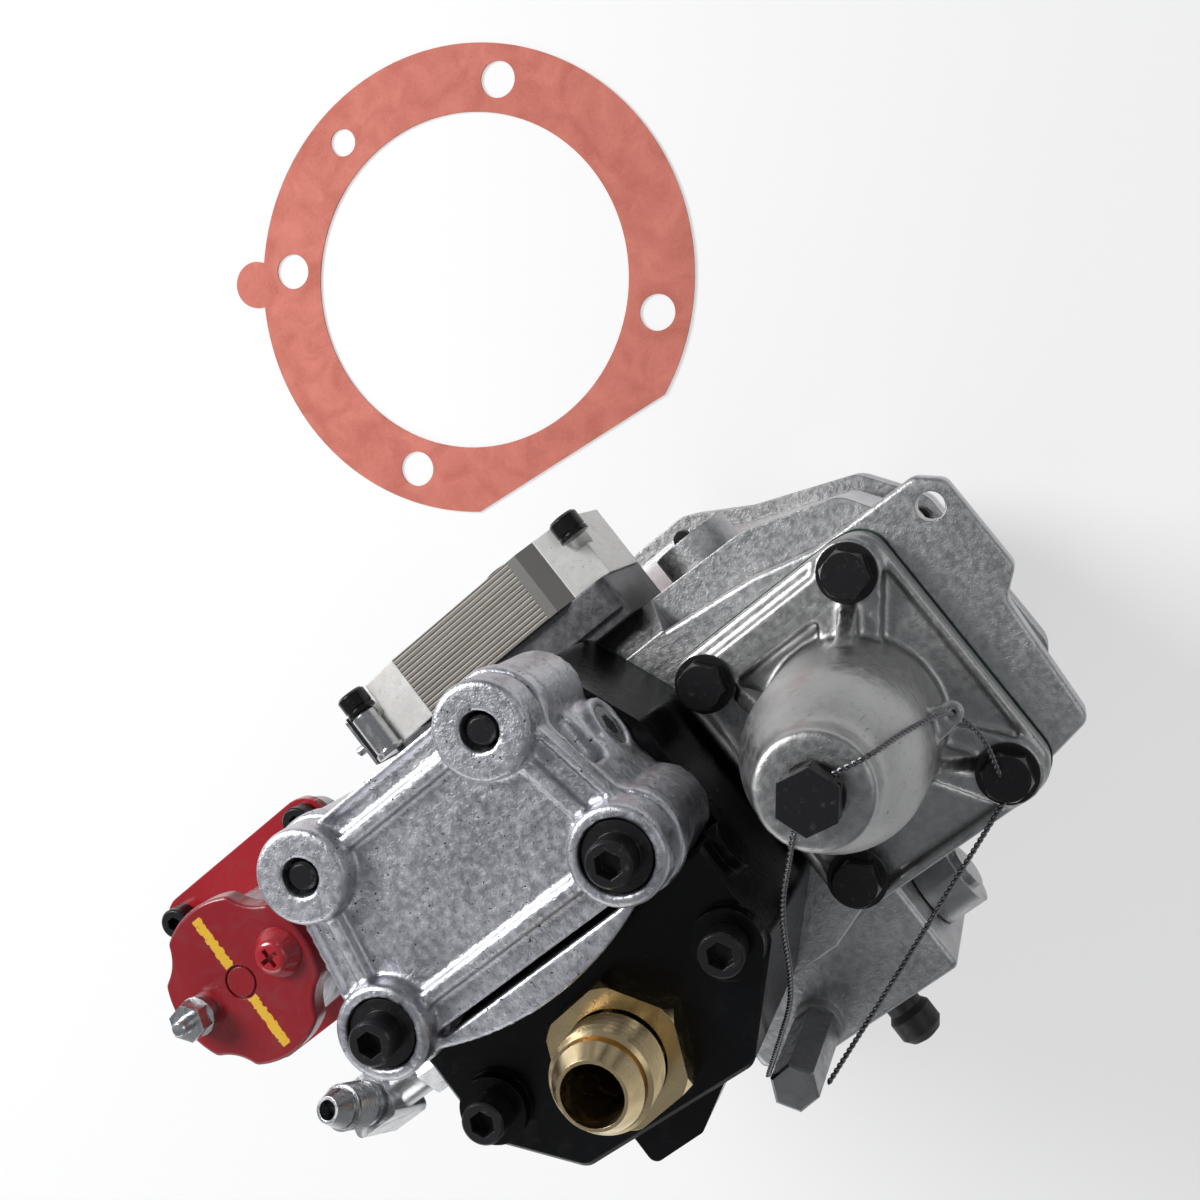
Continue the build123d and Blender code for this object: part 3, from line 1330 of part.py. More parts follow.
def seal_wires():
    return [seal_wire(route) for route in (plug_to_lug, lug_to_bolt, plug_to_cap, bolt_to_cap)]


# ---------------------------------------------------------------- write every piece
outer_ring, inner_ring, balls = bearing_rings()
save("front_cover", front_cover())
save("front_cover_gasket", front_cover_gasket())
save("front_cover_bolts", *front_cover_bolts())
save("mounting_gasket", mounting_gasket())
save("main_housing", main_housing())
save("drive_shaft", drive_shaft())
save("drive_coupling", drive_coupling())
save("bearing_outer_ring", outer_ring)
save("bearing_inner_ring", inner_ring)
save("bearing_balls", *balls)
save("shaft_seal", shaft_seal())
save("drive_gear", drive_gear())
save("governor_carrier", governor_carrier())
save("governor_weight_a", governor_weight(1))
save("governor_weight_b", governor_weight(-1))
save("governor_weight_pins", *governor_weight_pins())
save("governor_plunger", governor_plunger())
save("governor_barrel", governor_barrel())
save("governor_spring", governor_spring())
save("spring_seat", spring_seat())
save("spring_cover", spring_cover())
save("spring_cover_gasket", spring_cover_gasket())
save("spring_cover_bolts", *spring_cover_bolts())
save("spring_cover_plug", spring_cover_plug())
save("gear_pump_gasket", gear_pump_gasket())
save("gear_pump_body", gear_pump_body())
save("pump_drive_gear", pump_drive_gear())
save("pump_idler_gear", pump_idler_gear())
save("gear_pump_cover", gear_pump_cover())
save("gear_pump_bolts", *gear_pump_bolts())
save("inlet_fitting", inlet_fitting())
save("damper_body", damper_body())
save("damper_port_plug", damper_port_plug())
save("damper_diaphragm", damper_diaphragm())
save("damper_o_ring", damper_o_ring())
save("damper_cover", damper_cover())
save("damper_bolts", *damper_bolts())
save("outlet_elbow", *outlet_elbow())
save("shutoff_valve_body", shutoff_valve_body())
save("shutoff_shield", shutoff_shield())
save("shutoff_screws", *shutoff_screws())
save("shutoff_coil", shutoff_coil())
save("shutoff_cap", shutoff_cap())
save("shutoff_cap_screw", shutoff_cap_screw())
save("terminal_stud", *terminal_stud())
save("terminal_nut", terminal_nut())
save("shutoff_disc", shutoff_disc())
save("actuator_base", actuator_base())
save("actuator_core", actuator_core())
save("actuator_end_caps", *actuator_end_caps())
save("actuator_rotor", actuator_rotor())
save("actuator_screws", *actuator_screws())
save("actuator_terminals", *actuator_terminals())
save("throttle_shaft", throttle_shaft())
save("throttle_lever", throttle_lever())
save("idle_screw_cap", idle_screw_cap())
save("drain_cap", drain_cap())
save("seal_wires", *seal_wires())
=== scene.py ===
from math import cos, pi, radians, sin, tau

import bmesh
import bpy
from mathutils import Matrix, Vector


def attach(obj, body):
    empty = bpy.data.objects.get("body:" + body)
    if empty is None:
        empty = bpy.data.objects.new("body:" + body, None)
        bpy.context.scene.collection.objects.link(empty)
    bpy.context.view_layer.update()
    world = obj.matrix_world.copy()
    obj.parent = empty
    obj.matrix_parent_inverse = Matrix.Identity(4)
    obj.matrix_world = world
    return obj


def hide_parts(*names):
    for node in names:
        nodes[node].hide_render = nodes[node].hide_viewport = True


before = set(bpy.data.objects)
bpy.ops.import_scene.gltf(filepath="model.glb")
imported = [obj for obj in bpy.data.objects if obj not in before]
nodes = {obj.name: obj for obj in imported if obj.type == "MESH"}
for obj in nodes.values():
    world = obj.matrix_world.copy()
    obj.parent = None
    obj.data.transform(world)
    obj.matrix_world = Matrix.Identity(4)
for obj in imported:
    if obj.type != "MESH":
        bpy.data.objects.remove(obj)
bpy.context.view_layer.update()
print("frame loaded:", len(nodes), "nodes")

cameraSet = {
    "place": (0.18153, 0.02901, 0.5786), "right": (0.7368, -0.6146, -0.2818),
    "forward": (-0.2955, 0.0821, -0.9518), "lens": 45, "sensor": 36, "near": 0.01,
}


def placeCamera(spec):
    lens = bpy.data.cameras.new("camera")
    lens.lens = spec["lens"]
    lens.sensor_width = spec["sensor"]
    lens.clip_start = spec["near"]
    camera = bpy.data.objects.new("camera", lens)
    bpy.context.collection.objects.link(camera)
    back = -Vector(spec["forward"]).normalized()
    right = Vector(spec["right"]).normalized()
    up = back.cross(right).normalized()
    turn = Matrix((right, up, back)).transposed().to_4x4()
    camera.matrix_world = Matrix.Translation(spec["place"]) @ turn
    bpy.context.scene.camera = camera


placeCamera(cameraSet)


# a socket that takes part in arithmetic, so that shader maths reads as expressions
class Flow:
    def __init__(self, shader, socket):
        self.shader = shader
        self.socket = socket

    def maths(self, operation, first, second=0.0):
        return self.shader.node("ShaderNodeMath", {"operation": operation}, {0: first, 1: second})

    def __add__(self, other):
        return self.maths("ADD", self, other)

    def __radd__(self, other):
        return self.maths("ADD", other, self)

    def __sub__(self, other):
        return self.maths("SUBTRACT", self, other)

    def __rsub__(self, other):
        return self.maths("SUBTRACT", other, self)

    def __mul__(self, other):
        return self.maths("MULTIPLY", self, other)

    def __rmul__(self, other):
        return self.maths("MULTIPLY", other, self)

    def __gt__(self, other):
        return self.maths("GREATER_THAN", self, other)

    def __lt__(self, other):
        return self.maths("LESS_THAN", self, other)

    def larger(self, other):
        return self.maths("MAXIMUM", self, other)

    def wave(self):
        return self.maths("SINE", self)


class Finish:
    def __init__(self, name):
        self.material = bpy.data.materials.new(name)
        self.material.use_nodes = True
        self.tree = self.material.node_tree
        self.surface = self.tree.nodes["Principled BSDF"]
        self.spot = self.node("ShaderNodeTexCoord", {}, {}, "Object")

    # settings first, then the sockets' values or links
    def node(self, kind, settings, sockets, output=0):
        made = self.tree.nodes.new(kind)
        for key, value in settings.items():
            setattr(made, key, value)
        for key, value in sockets.items():
            target = made.inputs[key]
            if isinstance(value, Flow):
                self.tree.links.new(value.socket, target)
            elif isinstance(value, tuple) and len(value) == 3 and target.type == "RGBA":
                target.default_value = (*value, 1)
            else:
                target.default_value = value
        return Flow(self, made.outputs[output])

    def noise(self, scale, detail=3.0, stretch=None, warp=0.0):
        spot = self.spot
        if stretch:
            spot = self.node("ShaderNodeMapping", {}, {"Vector": spot, "Scale": stretch})
        sockets = {"Vector": spot, "Scale": scale, "Detail": detail, "Distortion": warp}
        return self.node("ShaderNodeTexNoise", {}, sockets, "Fac")

    def spread(self, value, low, high):
        sockets = {"Value": value, "From Min": low, "From Max": high}
        return self.node("ShaderNodeMapRange", {}, sockets)

    # noise that reads 0 below low and 1 above high
    def patch(self, low, high, **look):
        return self.spread(self.noise(**look), low, high)

    def blend(self, factor, first, second):
        sockets = {"Factor": factor, 6: first, 7: second}
        return self.node("ShaderNodeMix", {"data_type": "RGBA"}, sockets, 2)

    def axis(self, which):
        return self.node("ShaderNodeSeparateXYZ", {}, {0: self.spot}, which)

    def bump(self, height, distance, strength=1.0, normal=None):
        sockets = {"Height": height, "Distance": distance, "Strength": strength}
        if normal:
            sockets["Normal"] = normal
        return self.node("ShaderNodeBump", {}, sockets, "Normal")

    # the normal with its edges rounded off, which the bump then starts from
    def softEdge(self, radius):
        return self.node("ShaderNodeBevel", {"samples": 4}, {"Radius": radius}, "Normal")

    def set(self, **sockets):
        for key, value in sockets.items():
            target = self.surface.inputs[key.replace("_", " ")]
            if isinstance(value, Flow):
                self.tree.links.new(value.socket, target)
            elif isinstance(value, tuple) and len(value) == 3:
                target.default_value = (*value, 1)
            else:
                target.default_value = value
        return self.material


def dim(shade, share, lift=0.0):
    return tuple(part * share + lift for part in shade)


castSet = {
    "patches": {"scale": 34, "detail": 6.0, "warp": 0.5, "low": 0.38, "high": 0.64},
    "mottle": {"scale": 420, "detail": 6.0, "low": 0.36, "high": 0.66},
    "stains": {"scale": 210, "detail": 6.0, "warp": 0.9, "low": 0.58, "high": 0.72},
    "pits": {"scale": 900, "low": 0.67, "high": 0.72},
    "scratchA": {"scale": 300, "stretch": (1, 5, 1), "warp": 0.4, "low": 0.69, "high": 0.73},
    "scratchB": {"scale": 330, "stretch": (5, 1.4, 1), "warp": 0.4, "low": 0.70, "high": 0.74},
    "fine": {"scale": 1900, "detail": 4.0},
    "broad": {"scale": 600},
    "patchShare": 0.55, "mottleShare": 0.45, "scratchShare": 0.8, "fineShare": 0.6,
    "stainDark": 0.5, "scarShade": (0.05, 0.05, 0.055), "scarDepth": 0.8,
    "mottleRough": 0.12, "scarRough": 0.2, "strength": 0.9, "edge": 0.0007,
}


# sand-cast or die-cast aluminium: fine grain, dull patches, darker stains, pits and small scratches
def castMetal(name, pale, dark, rough, grain=0.0002, stain=0.35, marks=0.5, metal=1.0):
    look = castSet
    finish = Finish(name)
    patches = finish.patch(**look["patches"])
    mottle = finish.patch(**look["mottle"])
    stains = finish.patch(**look["stains"]) * stain
    pits = finish.patch(**look["pits"])
    scratches = finish.patch(**look["scratchA"]) + finish.patch(**look["scratchB"])
    scars = pits.larger(scratches * look["scratchShare"])
    tone = patches * look["patchShare"] + mottle * look["mottleShare"]
    shade = finish.blend(tone, dark, pale)
    shade = finish.blend(stains, shade, dim(dark, look["stainDark"]))
    shade = finish.blend(scars * marks, shade, look["scarShade"])
    height = finish.noise(**look["fine"]) * look["fineShare"] + finish.noise(**look["broad"])
    height = height - scars * marks * look["scarDepth"]
    normal = finish.bump(height, grain, look["strength"], finish.softEdge(look["edge"]))
    dull = rough + mottle * look["mottleRough"] + scars * look["scarRough"]
    return finish.set(Base_Color=shade, Roughness=dull, Metallic=metal, Normal=normal)


machinedSet = {
    "grooves": {"scale": 240},
    "dull": {"scale": 160, "detail": 5.0, "warp": 0.8, "low": 0.45, "high": 0.72},
    "dullDark": 0.38, "dullRough": 0.5, "strength": 0.7,
}


# a face that a cutter or a brush has left with fine parallel lines
def machinedMetal(name, shade, rough, lines=(1, 1, 60), depth=0.00004, tarnish=0.25, edge=0.0003):
    look = machinedSet
    finish = Finish(name)
    grooves = finish.noise(**look["grooves"], stretch=lines)
    dull = finish.patch(**look["dull"]) * tarnish
    colour = finish.blend(dull, shade, dim(shade, look["dullDark"]))
    normal = finish.bump(grooves, depth, look["strength"], finish.softEdge(edge))
    return finish.set(Base_Color=colour, Roughness=rough + dull * look["dullRough"], Metallic=1.0,
                      Normal=normal)


oxideSet = {
    "rub": {"scale": 500, "detail": 5.0, "warp": 0.5, "low": 0.60, "high": 0.74},
    "grain": {"scale": 1400},
    "rubShare": 0.5, "rubShade": (0.07, 0.07, 0.07), "rubRough": 0.2,
    "depth": 0.00006, "strength": 0.6, "edge": 0.0004, "metal": 0.25,
}


# blackened steel, rubbed paler here and there
def blackOxide(name, shade, rough):
    look = oxideSet
    finish = Finish(name)
    rub = finish.patch(**look["rub"]) * look["rubShare"]
    colour = finish.blend(rub, shade, look["rubShade"])
    grain = finish.noise(**look["grain"])
    normal = finish.bump(grain, look["depth"], look["strength"], finish.softEdge(look["edge"]))
    return finish.set(Base_Color=colour, Roughness=rough + rub * look["rubRough"],
                      Metallic=look["metal"], Normal=normal)


enamelSet = {
    "grime": {"scale": 170, "detail": 6.0, "warp": 1.0, "low": 0.52, "high": 0.75},
    "waves": {"scale": 650, "detail": 2.0},
    "grimeDark": 0.6, "grimeRough": 0.3, "strength": 0.8, "edge": 0.0005,
}


# paint, plastic or rubber with a slightly uneven skin and dust in patches
def enamel(name, shade, rough, dirt, peel=0.00005, coat=0.0, dust=0.008, shine=0.5):
    look = enamelSet
    finish = Finish(name)
    grime = finish.patch(**look["grime"]) * dirt
    colour = finish.blend(grime, shade, dim(shade, look["grimeDark"], dust))
    waves = finish.noise(**look["waves"])
    normal = finish.bump(waves, peel, look["strength"], finish.softEdge(look["edge"]))
    return finish.set(Base_Color=colour, Roughness=rough + grime * look["grimeRough"],
                      Normal=normal, Coat_Weight=coat, Specular_IOR_Level=shine)


paperSet = {
    "cloud": {"scale": 75, "detail": 6.0, "warp": 0.8, "low": 0.34, "high": 0.66},
    "fibre": {"scale": 900, "detail": 5.0, "low": 0.3, "high": 0.72},
    "cloudShare": 0.7, "fibreShare": 0.3, "depth": 0.0001, "strength": 0.6, "rough": 0.85,
}


def paperGasket(name, pale, dark):
    look = paperSet
    finish = Finish(name)
    cloud = finish.patch(**look["cloud"])
    fibre = finish.patch(**look["fibre"])
    tone = cloud * look["cloudShare"] + fibre * look["fibreShare"]
    normal = finish.bump(fibre, look["depth"], look["strength"])
    return finish.set(Base_Color=finish.blend(tone, dark, pale), Roughness=look["rough"],
                      Normal=normal)


laminatedSet = {
    "pitch": 0.0015, "pale": (0.27, 0.255, 0.23), "dark": (0.115, 0.107, 0.094),
    "plainFrom": 0.0335, "plain": (0.20, 0.195, 0.185), "gapLow": 0.1, "gapHigh": 1.0,
    "grime": {"scale": 120, "detail": 5.0, "stretch": (0.3, 3, 1), "low": 0.4, "high": 0.7},
    "grimeShare": 0.4, "grimeShade": (0.13, 0.115, 0.095),
    "depth": 0.00015, "strength": 0.8, "edge": 0.0003, "rough": 0.5, "metal": 0.7,
}


# sheet edges along the block's length: pitch is one visible bundle, the last stretch a plain plate
def laminatedSteel(name, look):
    finish = Finish(name)
    stack = (finish.axis("Y") * (tau / look["pitch"])).wave()
    gap = finish.spread(stack, look["gapLow"], look["gapHigh"])
    grime = finish.patch(**look["grime"]) * look["grimeShare"]
    smooth = finish.axis("X") > look["plainFrom"]
    shade = finish.blend(gap, look["pale"], look["dark"])
    shade = finish.blend(grime, shade, look["grimeShade"])
    shade = finish.blend(smooth, shade, look["plain"])
    sheets = (1 - gap) * (1 - smooth)
    normal = finish.bump(sheets, look["depth"], look["strength"], finish.softEdge(look["edge"]))
    return finish.set(Base_Color=shade, Roughness=look["rough"], Metallic=look["metal"],
                      Normal=normal)


capSet = {
    "axis": (-0.0803, 0.0413), "face": 0.222, "faceDepth": 0.0004, "markRadius": 0.0052,
    # the cap's own red, darkened below the shield's red enamel: the darkening is painted shade
    "shade": (0.235, 0.005, 0.011), "stripe": (0.68, 0.40, 0.03),
    "stripeHalf": 0.0015, "stripeReach": 0.0215,
    "ragged": {"scale": 700, "detail": 4.0}, "raggedReach": 0.0022,
    "worn": {"scale": 1500, "detail": 5.0, "low": 0.26, "high": 0.40},
    "dust": {"scale": 170, "detail": 6.0, "warp": 1.0, "low": 0.5, "high": 0.75},
    "dustShare": 0.25, "dustDark": 0.45, "dustRough": 0.2,
    "waves": {"scale": 520}, "depth": 0.00008, "strength": 0.8, "edge": 0.0006,
    "rough": 0.32, "coat": 0.3,
}


# red enamel with a yellow paint stripe across the cap's face, broken at the round mark; the red is
# darker than the shield's red enamel, and that darkening is painted shade
def stripedEnamel(name, look):
    finish = Finish(name)
    dust = finish.patch(**look["dust"])
    dusty = dim(look["shade"], look["dustDark"])
    colour = finish.blend(dust * look["dustShare"], look["shade"], dusty)
    x, y = look["axis"]
    across = finish.axis("X") - x
    along = finish.axis("Y") - y
    edge = across + (finish.noise(**look["ragged"]) - 0.5) * look["raggedReach"]
    inside = (edge * edge) < look["stripeHalf"] ** 2
    clear = (across * across + along * along) > look["markRadius"] ** 2
    reach = (along * along) < look["stripeReach"] ** 2
    onTop = finish.axis("Z") > look["face"] - look["faceDepth"]
    worn = finish.patch(**look["worn"])
    colour = finish.blend(inside * clear * reach * onTop * worn, colour, look["stripe"])
    waves = finish.noise(**look["waves"])
    normal = finish.bump(waves, look["depth"], look["strength"], finish.softEdge(look["edge"]))
    return finish.set(Base_Color=colour, Roughness=look["rough"] + dust * look["dustRough"],
                      Normal=normal, Coat_Weight=look["coat"])


materials = {
    "cast": castMetal("castAluminium", pale=(0.66, 0.665, 0.70), dark=(0.40, 0.405, 0.44),
                      rough=0.33, marks=1.0),
    "blasted": castMetal("blastedCasting", pale=(0.60, 0.60, 0.60), dark=(0.37, 0.37, 0.375),
                         rough=0.36, grain=0.00016, marks=0.3),
    "darkCast": castMetal("darkCasting", pale=(0.20, 0.20, 0.205), dark=(0.10, 0.10, 0.105),
                          rough=0.42, grain=0.00006, stain=0.5, marks=0.3),
    "dome": castMetal("domeCasting", pale=(0.48, 0.48, 0.475), dark=(0.34, 0.34, 0.34),
                      rough=0.34, grain=0.00010, stain=0.2, marks=0.3),
    "paleCast": castMetal("paleCasting", pale=(0.88, 0.87, 0.84), dark=(0.74, 0.73, 0.70),
                          rough=0.42, grain=0.00008, stain=0.25, marks=0.4, metal=0.3),
    "steel": machinedMetal("turnedSteel", shade=(0.50, 0.50, 0.50), rough=0.26),
    "hexSteel": machinedMetal("darkSteel", shade=(0.33, 0.33, 0.335), rough=0.27, tarnish=0.4),
    "brightSteel": machinedMetal("zincSteel", shade=(0.60, 0.61, 0.62), rough=0.2, tarnish=0.5),
    "brass": machinedMetal("brass", shade=(0.80, 0.63, 0.36), rough=0.2, depth=0.00002,
                           tarnish=0.3, edge=0.0001),
    "wire": machinedMetal("sealWire", shade=(0.16, 0.16, 0.165), rough=0.24),
    "can": machinedMetal("steelCan", shade=(0.42, 0.42, 0.44), rough=0.3, lines=(1, 1, 30),
                         tarnish=0.6),
    "oxide": blackOxide("blackOxide", shade=(0.012, 0.012, 0.013), rough=0.30),
    "screwBlack": blackOxide("blackScrew", shade=(0.006, 0.006, 0.0065), rough=0.22),
    "black": enamel("blackEnamel", shade=(0.0012, 0.0014, 0.0018), rough=0.24, dirt=0.3,
                    peel=0.00007, dust=0.004, shine=0.28),
    "plastic": enamel("blackPlastic", shade=(0.006, 0.006, 0.006), rough=0.35, dirt=0.3),
    "red": enamel("redEnamel", shade=(0.34, 0.010, 0.018), rough=0.24, dirt=0.35, coat=0.6),
    "rubber": enamel("blackRubber", shade=(0.010, 0.010, 0.010), rough=0.5, dirt=0.5),
    "striped": stripedEnamel("stripedRedEnamel", capSet),
    "gasket": paperGasket("redFibreGasket", pale=(0.63, 0.205, 0.155), dark=(0.47, 0.125, 0.092)),
    "green": paperGasket("greenGasket", pale=(0.03, 0.075, 0.055), dark=(0.015, 0.04, 0.03)),
    "laminated": laminatedSteel("laminations", laminatedSet),
}
print("finishes made:", len(materials))

finishOf = {
    "cast": ["damper_cover", "damper_body"],
    "blasted": ["front_cover", "shutoff_valve_body", "main_housing"],
    "paleCast": ["actuator_end_caps"],
    "darkCast": ["actuator_base"],
    "dome": ["spring_cover"],
    "steel": ["drive_shaft", "drive_coupling", "drive_gear", "governor_carrier",
              "governor_weight_a", "governor_weight_b", "governor_weight_pins",
              "governor_plunger", "governor_barrel", "governor_spring", "spring_seat",
              "bearing_outer_ring", "bearing_inner_ring", "bearing_balls", "pump_drive_gear",
              "pump_idler_gear", "shutoff_disc", "actuator_rotor", "throttle_shaft",
              "throttle_lever", "damper_diaphragm"],
    "can": ["shutoff_coil"],
    "hexSteel": ["idle_screw_cap"],
    "brightSteel": ["outlet_elbow", "terminal_nut", "terminal_stud", "damper_port_plug"],
    "brass": ["inlet_fitting"],
    "black": ["gear_pump_body", "gear_pump_cover"],
    "oxide": ["front_cover_bolts", "spring_cover_bolts", "spring_cover_plug", "gear_pump_bolts",
              "damper_bolts", "shutoff_screws", "actuator_screws"],
    "plastic": ["actuator_terminals"],
    "red": ["shutoff_shield", "shutoff_cap_screw"],
    "striped": ["shutoff_cap"],
    "gasket": ["mounting_gasket"],
    "green": ["spring_cover_gasket", "front_cover_gasket", "gear_pump_gasket"],
    "laminated": ["actuator_core"],
    "rubber": ["drain_cap", "shaft_seal", "damper_o_ring"],
    "wire": ["seal_wires"],
}


def dress(obj, finish):
    obj.data.materials.clear()
    obj.data.materials.append(materials[finish])


for finishName, members in finishOf.items():
    for member in members:
        dress(nodes[member], finishName)
print("nodes dressed")


def wake(obj):
    bpy.ops.object.select_all(action="DESELECT")
    obj.select_set(True)
    bpy.context.view_layer.objects.active = obj


def applyAll(obj):
    wake(obj)
    for modifier in list(obj.modifiers):
        bpy.ops.object.modifier_apply(modifier=modifier.name)


softSet = {
    "damperCover": {"node": "damper_cover", "voxel": 0.0007, "rounds": 4, "finish": "cast",
                    "slot": "cast_aluminium"},
    "damperBody": {"node": "damper_body", "voxel": 0.0010, "rounds": 3, "finish": "cast",
                   "slot": "cast_aluminium"},
    "springCover": {"node": "spring_cover", "voxel": 0.0009, "rounds": 5, "finish": "dome",
                    "slot": "cast_aluminium"},
}
softMerge = 0.000002
softPull = 0.5  # how far each round of smoothing draws a point to its neighbours


# the casting's edges and inner corners run into each other, as a mould leaves them
def softCasting(name, spec):
    piece = bpy.data.objects.new(name, nodes[spec["node"]].data.copy())
    bpy.context.collection.objects.link(piece)
    wake(piece)
    bpy.ops.object.mode_set(mode="EDIT")
    bpy.ops.mesh.select_all(action="SELECT")
    bpy.ops.mesh.remove_doubles(threshold=softMerge)
    bpy.ops.object.mode_set(mode="OBJECT")
    remesh = piece.modifiers.new("remesh", "REMESH")
    remesh.mode = "VOXEL"
    remesh.voxel_size = spec["voxel"]
    smooth = piece.modifiers.new("smooth", "SMOOTH")
    smooth.factor = softPull
    smooth.iterations = spec["rounds"]
    applyAll(piece)
    bpy.ops.object.shade_smooth()
    dress(piece, spec["finish"])
    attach(piece, "housing")
    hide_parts(spec["node"])
    print(name, "softened:", len(piece.data.polygons), "faces")


for softName, softSpec in softSet.items():
    softCasting(softName, softSpec)


def joinAll(name, pieces):
    bpy.ops.object.select_all(action="DESELECT")
    for piece in pieces:
        piece.select_set(True)
    bpy.context.view_layer.objects.active = pieces[0]
    bpy.ops.object.join()
    joined = bpy.context.object
    joined.name = name
    joined.data.name = name
    return joined


turnMerge = 0.000005


# a row of points turned about an axis: with a rise it makes a helix, without one a turned shape
def turnProfile(name, points, spec, rise=0.0, turns=1):
    bpy.ops.object.select_all(action="DESELECT")
    bpy.ops.mesh.primitive_plane_add(location=(0, 0, 0))
    piece = bpy.context.object
    piece.name = name
    shape = bmesh.new()
    row = [shape.verts.new((radius, 0, height)) for radius, height in points]
    for first, second in zip(row, row[1:]):
        shape.edges.new((first, second))
    shape.to_mesh(piece.data)
    shape.free()
    screw = piece.modifiers.new("screw", "SCREW")
    screw.axis = "Z"
    screw.angle = tau
    screw.screw_offset = rise
    screw.iterations = turns
    screw.steps = spec["steps"]
    screw.render_steps = spec["steps"]
    screw.use_merge_vertices = rise == 0.0
    screw.merge_threshold = turnMerge
    applyAll(piece)
    bpy.ops.object.mode_set(mode="EDIT")
    bpy.ops.mesh.select_all(action="SELECT")
    if rise:
        bpy.ops.mesh.remove_doubles(threshold=turnMerge)
    bpy.ops.mesh.normals_make_consistent(inside=False)
    bpy.ops.object.mode_set(mode="OBJECT")
    aim = Vector(spec["along"]).normalized().to_track_quat("Z", "Y")
    piece.data.transform(Matrix.Translation(spec["at"]) @ aim.to_matrix().to_4x4())
    return piece


threadSet = {
    "inletAdapter": {"node": "inlet_fitting", "at": (0.0005, -0.034, 0.0), "along": (0, 0, 1),
                     "radius": 0.0135, "from": 0.2281, "to": 0.2419, "pitch": 0.0022,
                     "depth": 0.0014, "steps": 64, "finish": "brass", "slot": "brass"},
    "outletElbow": {"node": "outlet_elbow", "at": (-0.076, -0.0095, 0.2075),
                    "along": (0, 0.358368, 0.93358), "radius": 0.00635, "from": 0.0090,
                    "to": 0.0189, "pitch": 0.00125, "depth": 0.0007, "steps": 40,
                    "finish": "brightSteel", "slot": "machined_steel"},
}
# the tooth's corners are shares of the pitch, and the barrel's skin is a band of its radius
toothSet = {
    "rootEnd": 0.12, "crestStart": 0.44, "crestEnd": 0.56, "rootStart": 0.88,
    "skinFrom": 0.955, "skinTo": 1.02, "coreOver": 0.00001, "coreLap": 0.0002, "crease": 35,
}


# the CAD piece with its smooth thread barrel cut out and a real helix put in its place
def threadedPiece(name, spec):
    tooth = toothSet
    source = nodes[spec["node"]]
    piece = bpy.data.objects.new(name, source.data.copy())
    bpy.context.collection.objects.link(piece)
    crest, pitch = spec["radius"], spec["pitch"]
    low, high = spec["from"], spec["to"]
    shape = bmesh.new()
    shape.from_mesh(piece.data)
    origin = Vector(spec["at"])
    along = Vector(spec["along"]).normalized()
    gone = []
    for face in shape.faces:
        reach = face.calc_center_median() - origin
        height = reach.dot(along)
        radius = (reach - along * height).length
        onSkin = crest * tooth["skinFrom"] < radius < crest * tooth["skinTo"]
        if onSkin and low < height < high:
            gone.append(face)
    bmesh.ops.delete(shape, geom=gone, context="FACES")
    shape.to_mesh(piece.data)
    shape.free()
    root = crest - spec["depth"]
    turns = int((high - low) / pitch) - 1
    start = low + (high - low - pitch * (turns + 1)) / 2
    corners = [(root, 0), (root, tooth["rootEnd"]), (crest, tooth["crestStart"]),
               (crest, tooth["crestEnd"]), (root, tooth["rootStart"]), (root, 1)]
    ridge = [(radius, start + pitch * share) for radius, share in corners]
    helix = turnProfile(name + "Helix", ridge, spec, pitch, turns)
    inner, lap = root + tooth["coreOver"], tooth["coreLap"]
    core = turnProfile(name + "Core", [(inner, low - lap), (inner, high + lap)], spec)
    joined = joinAll(name, [piece, helix, core])
    bpy.ops.object.shade_smooth_by_angle(angle=radians(tooth["crease"]))
    dress(joined, spec["finish"])
    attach(joined, "housing")
    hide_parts(spec["node"])
    print(name, "threaded:", turns, "turns,", len(gone), "smooth faces replaced")


for threadName, threadSpec in threadSet.items():
    threadedPiece(threadName, threadSpec)

wireSet = {
    "strand": 0.00042, "sides": 2, "lay": 0.00040, "pitch": 0.0036, "step": 0.0004,
    "corner": 0.42, "cornerParts": 16, "guide": (0.3, 0.2, 1),
    "routes": {
        "plugToLug": [(0.0959, -0.0066, 0.2445), (0.1055, -0.0085, 0.2415),
                      (0.1105, -0.0105, 0.2245), (0.118, -0.0145, 0.2055),
                      (0.1161, -0.018, 0.1889)],
        "lugToBolt": [(0.1161, -0.018, 0.1831), (0.117, -0.029, 0.176), (0.113, -0.041, 0.171)],
        "plugToCap": [(0.080, -0.012, 0.2445), (0.062, -0.026, 0.2325), (0.042, -0.050, 0.2085),
                      (0.006, -0.0729, 0.170)],
        "boltToCap": [(0.1087, -0.048, 0.1665), (0.084, -0.058, 0.167), (0.055, -0.070, 0.168),
                      (0.0193, -0.084, 0.170)],
    },
}


# the route with its corners rounded, as points a fixed step apart
def roundedRoute(corners, spec):
    corners = [Vector(corner) for corner in corners]
    parts = spec["cornerParts"]
    path = [corners[0]]
    for before, corner, after in zip(corners, corners[1:], corners[2:]):
        reach = spec["corner"] * min((corner - before).length, (after - corner).length)
        enter = corner + (before - corner).normalized() * reach
        leave = corner + (after - corner).normalized() * reach
        for part in range(parts + 1):
            share = part / parts
            path.append(enter * (1 - share) ** 2 + corner * 2 * share * (1 - share)
                        + leave * share ** 2)
    path.append(corners[-1])
    spaced = [path[0]]
    left = spec["step"]
    for first, second in zip(path, path[1:]):
        length = (second - first).length
        while left <= length:
            spaced.append(first.lerp(second, left / length))
            left += spec["step"]
        left -= length
    return spaced


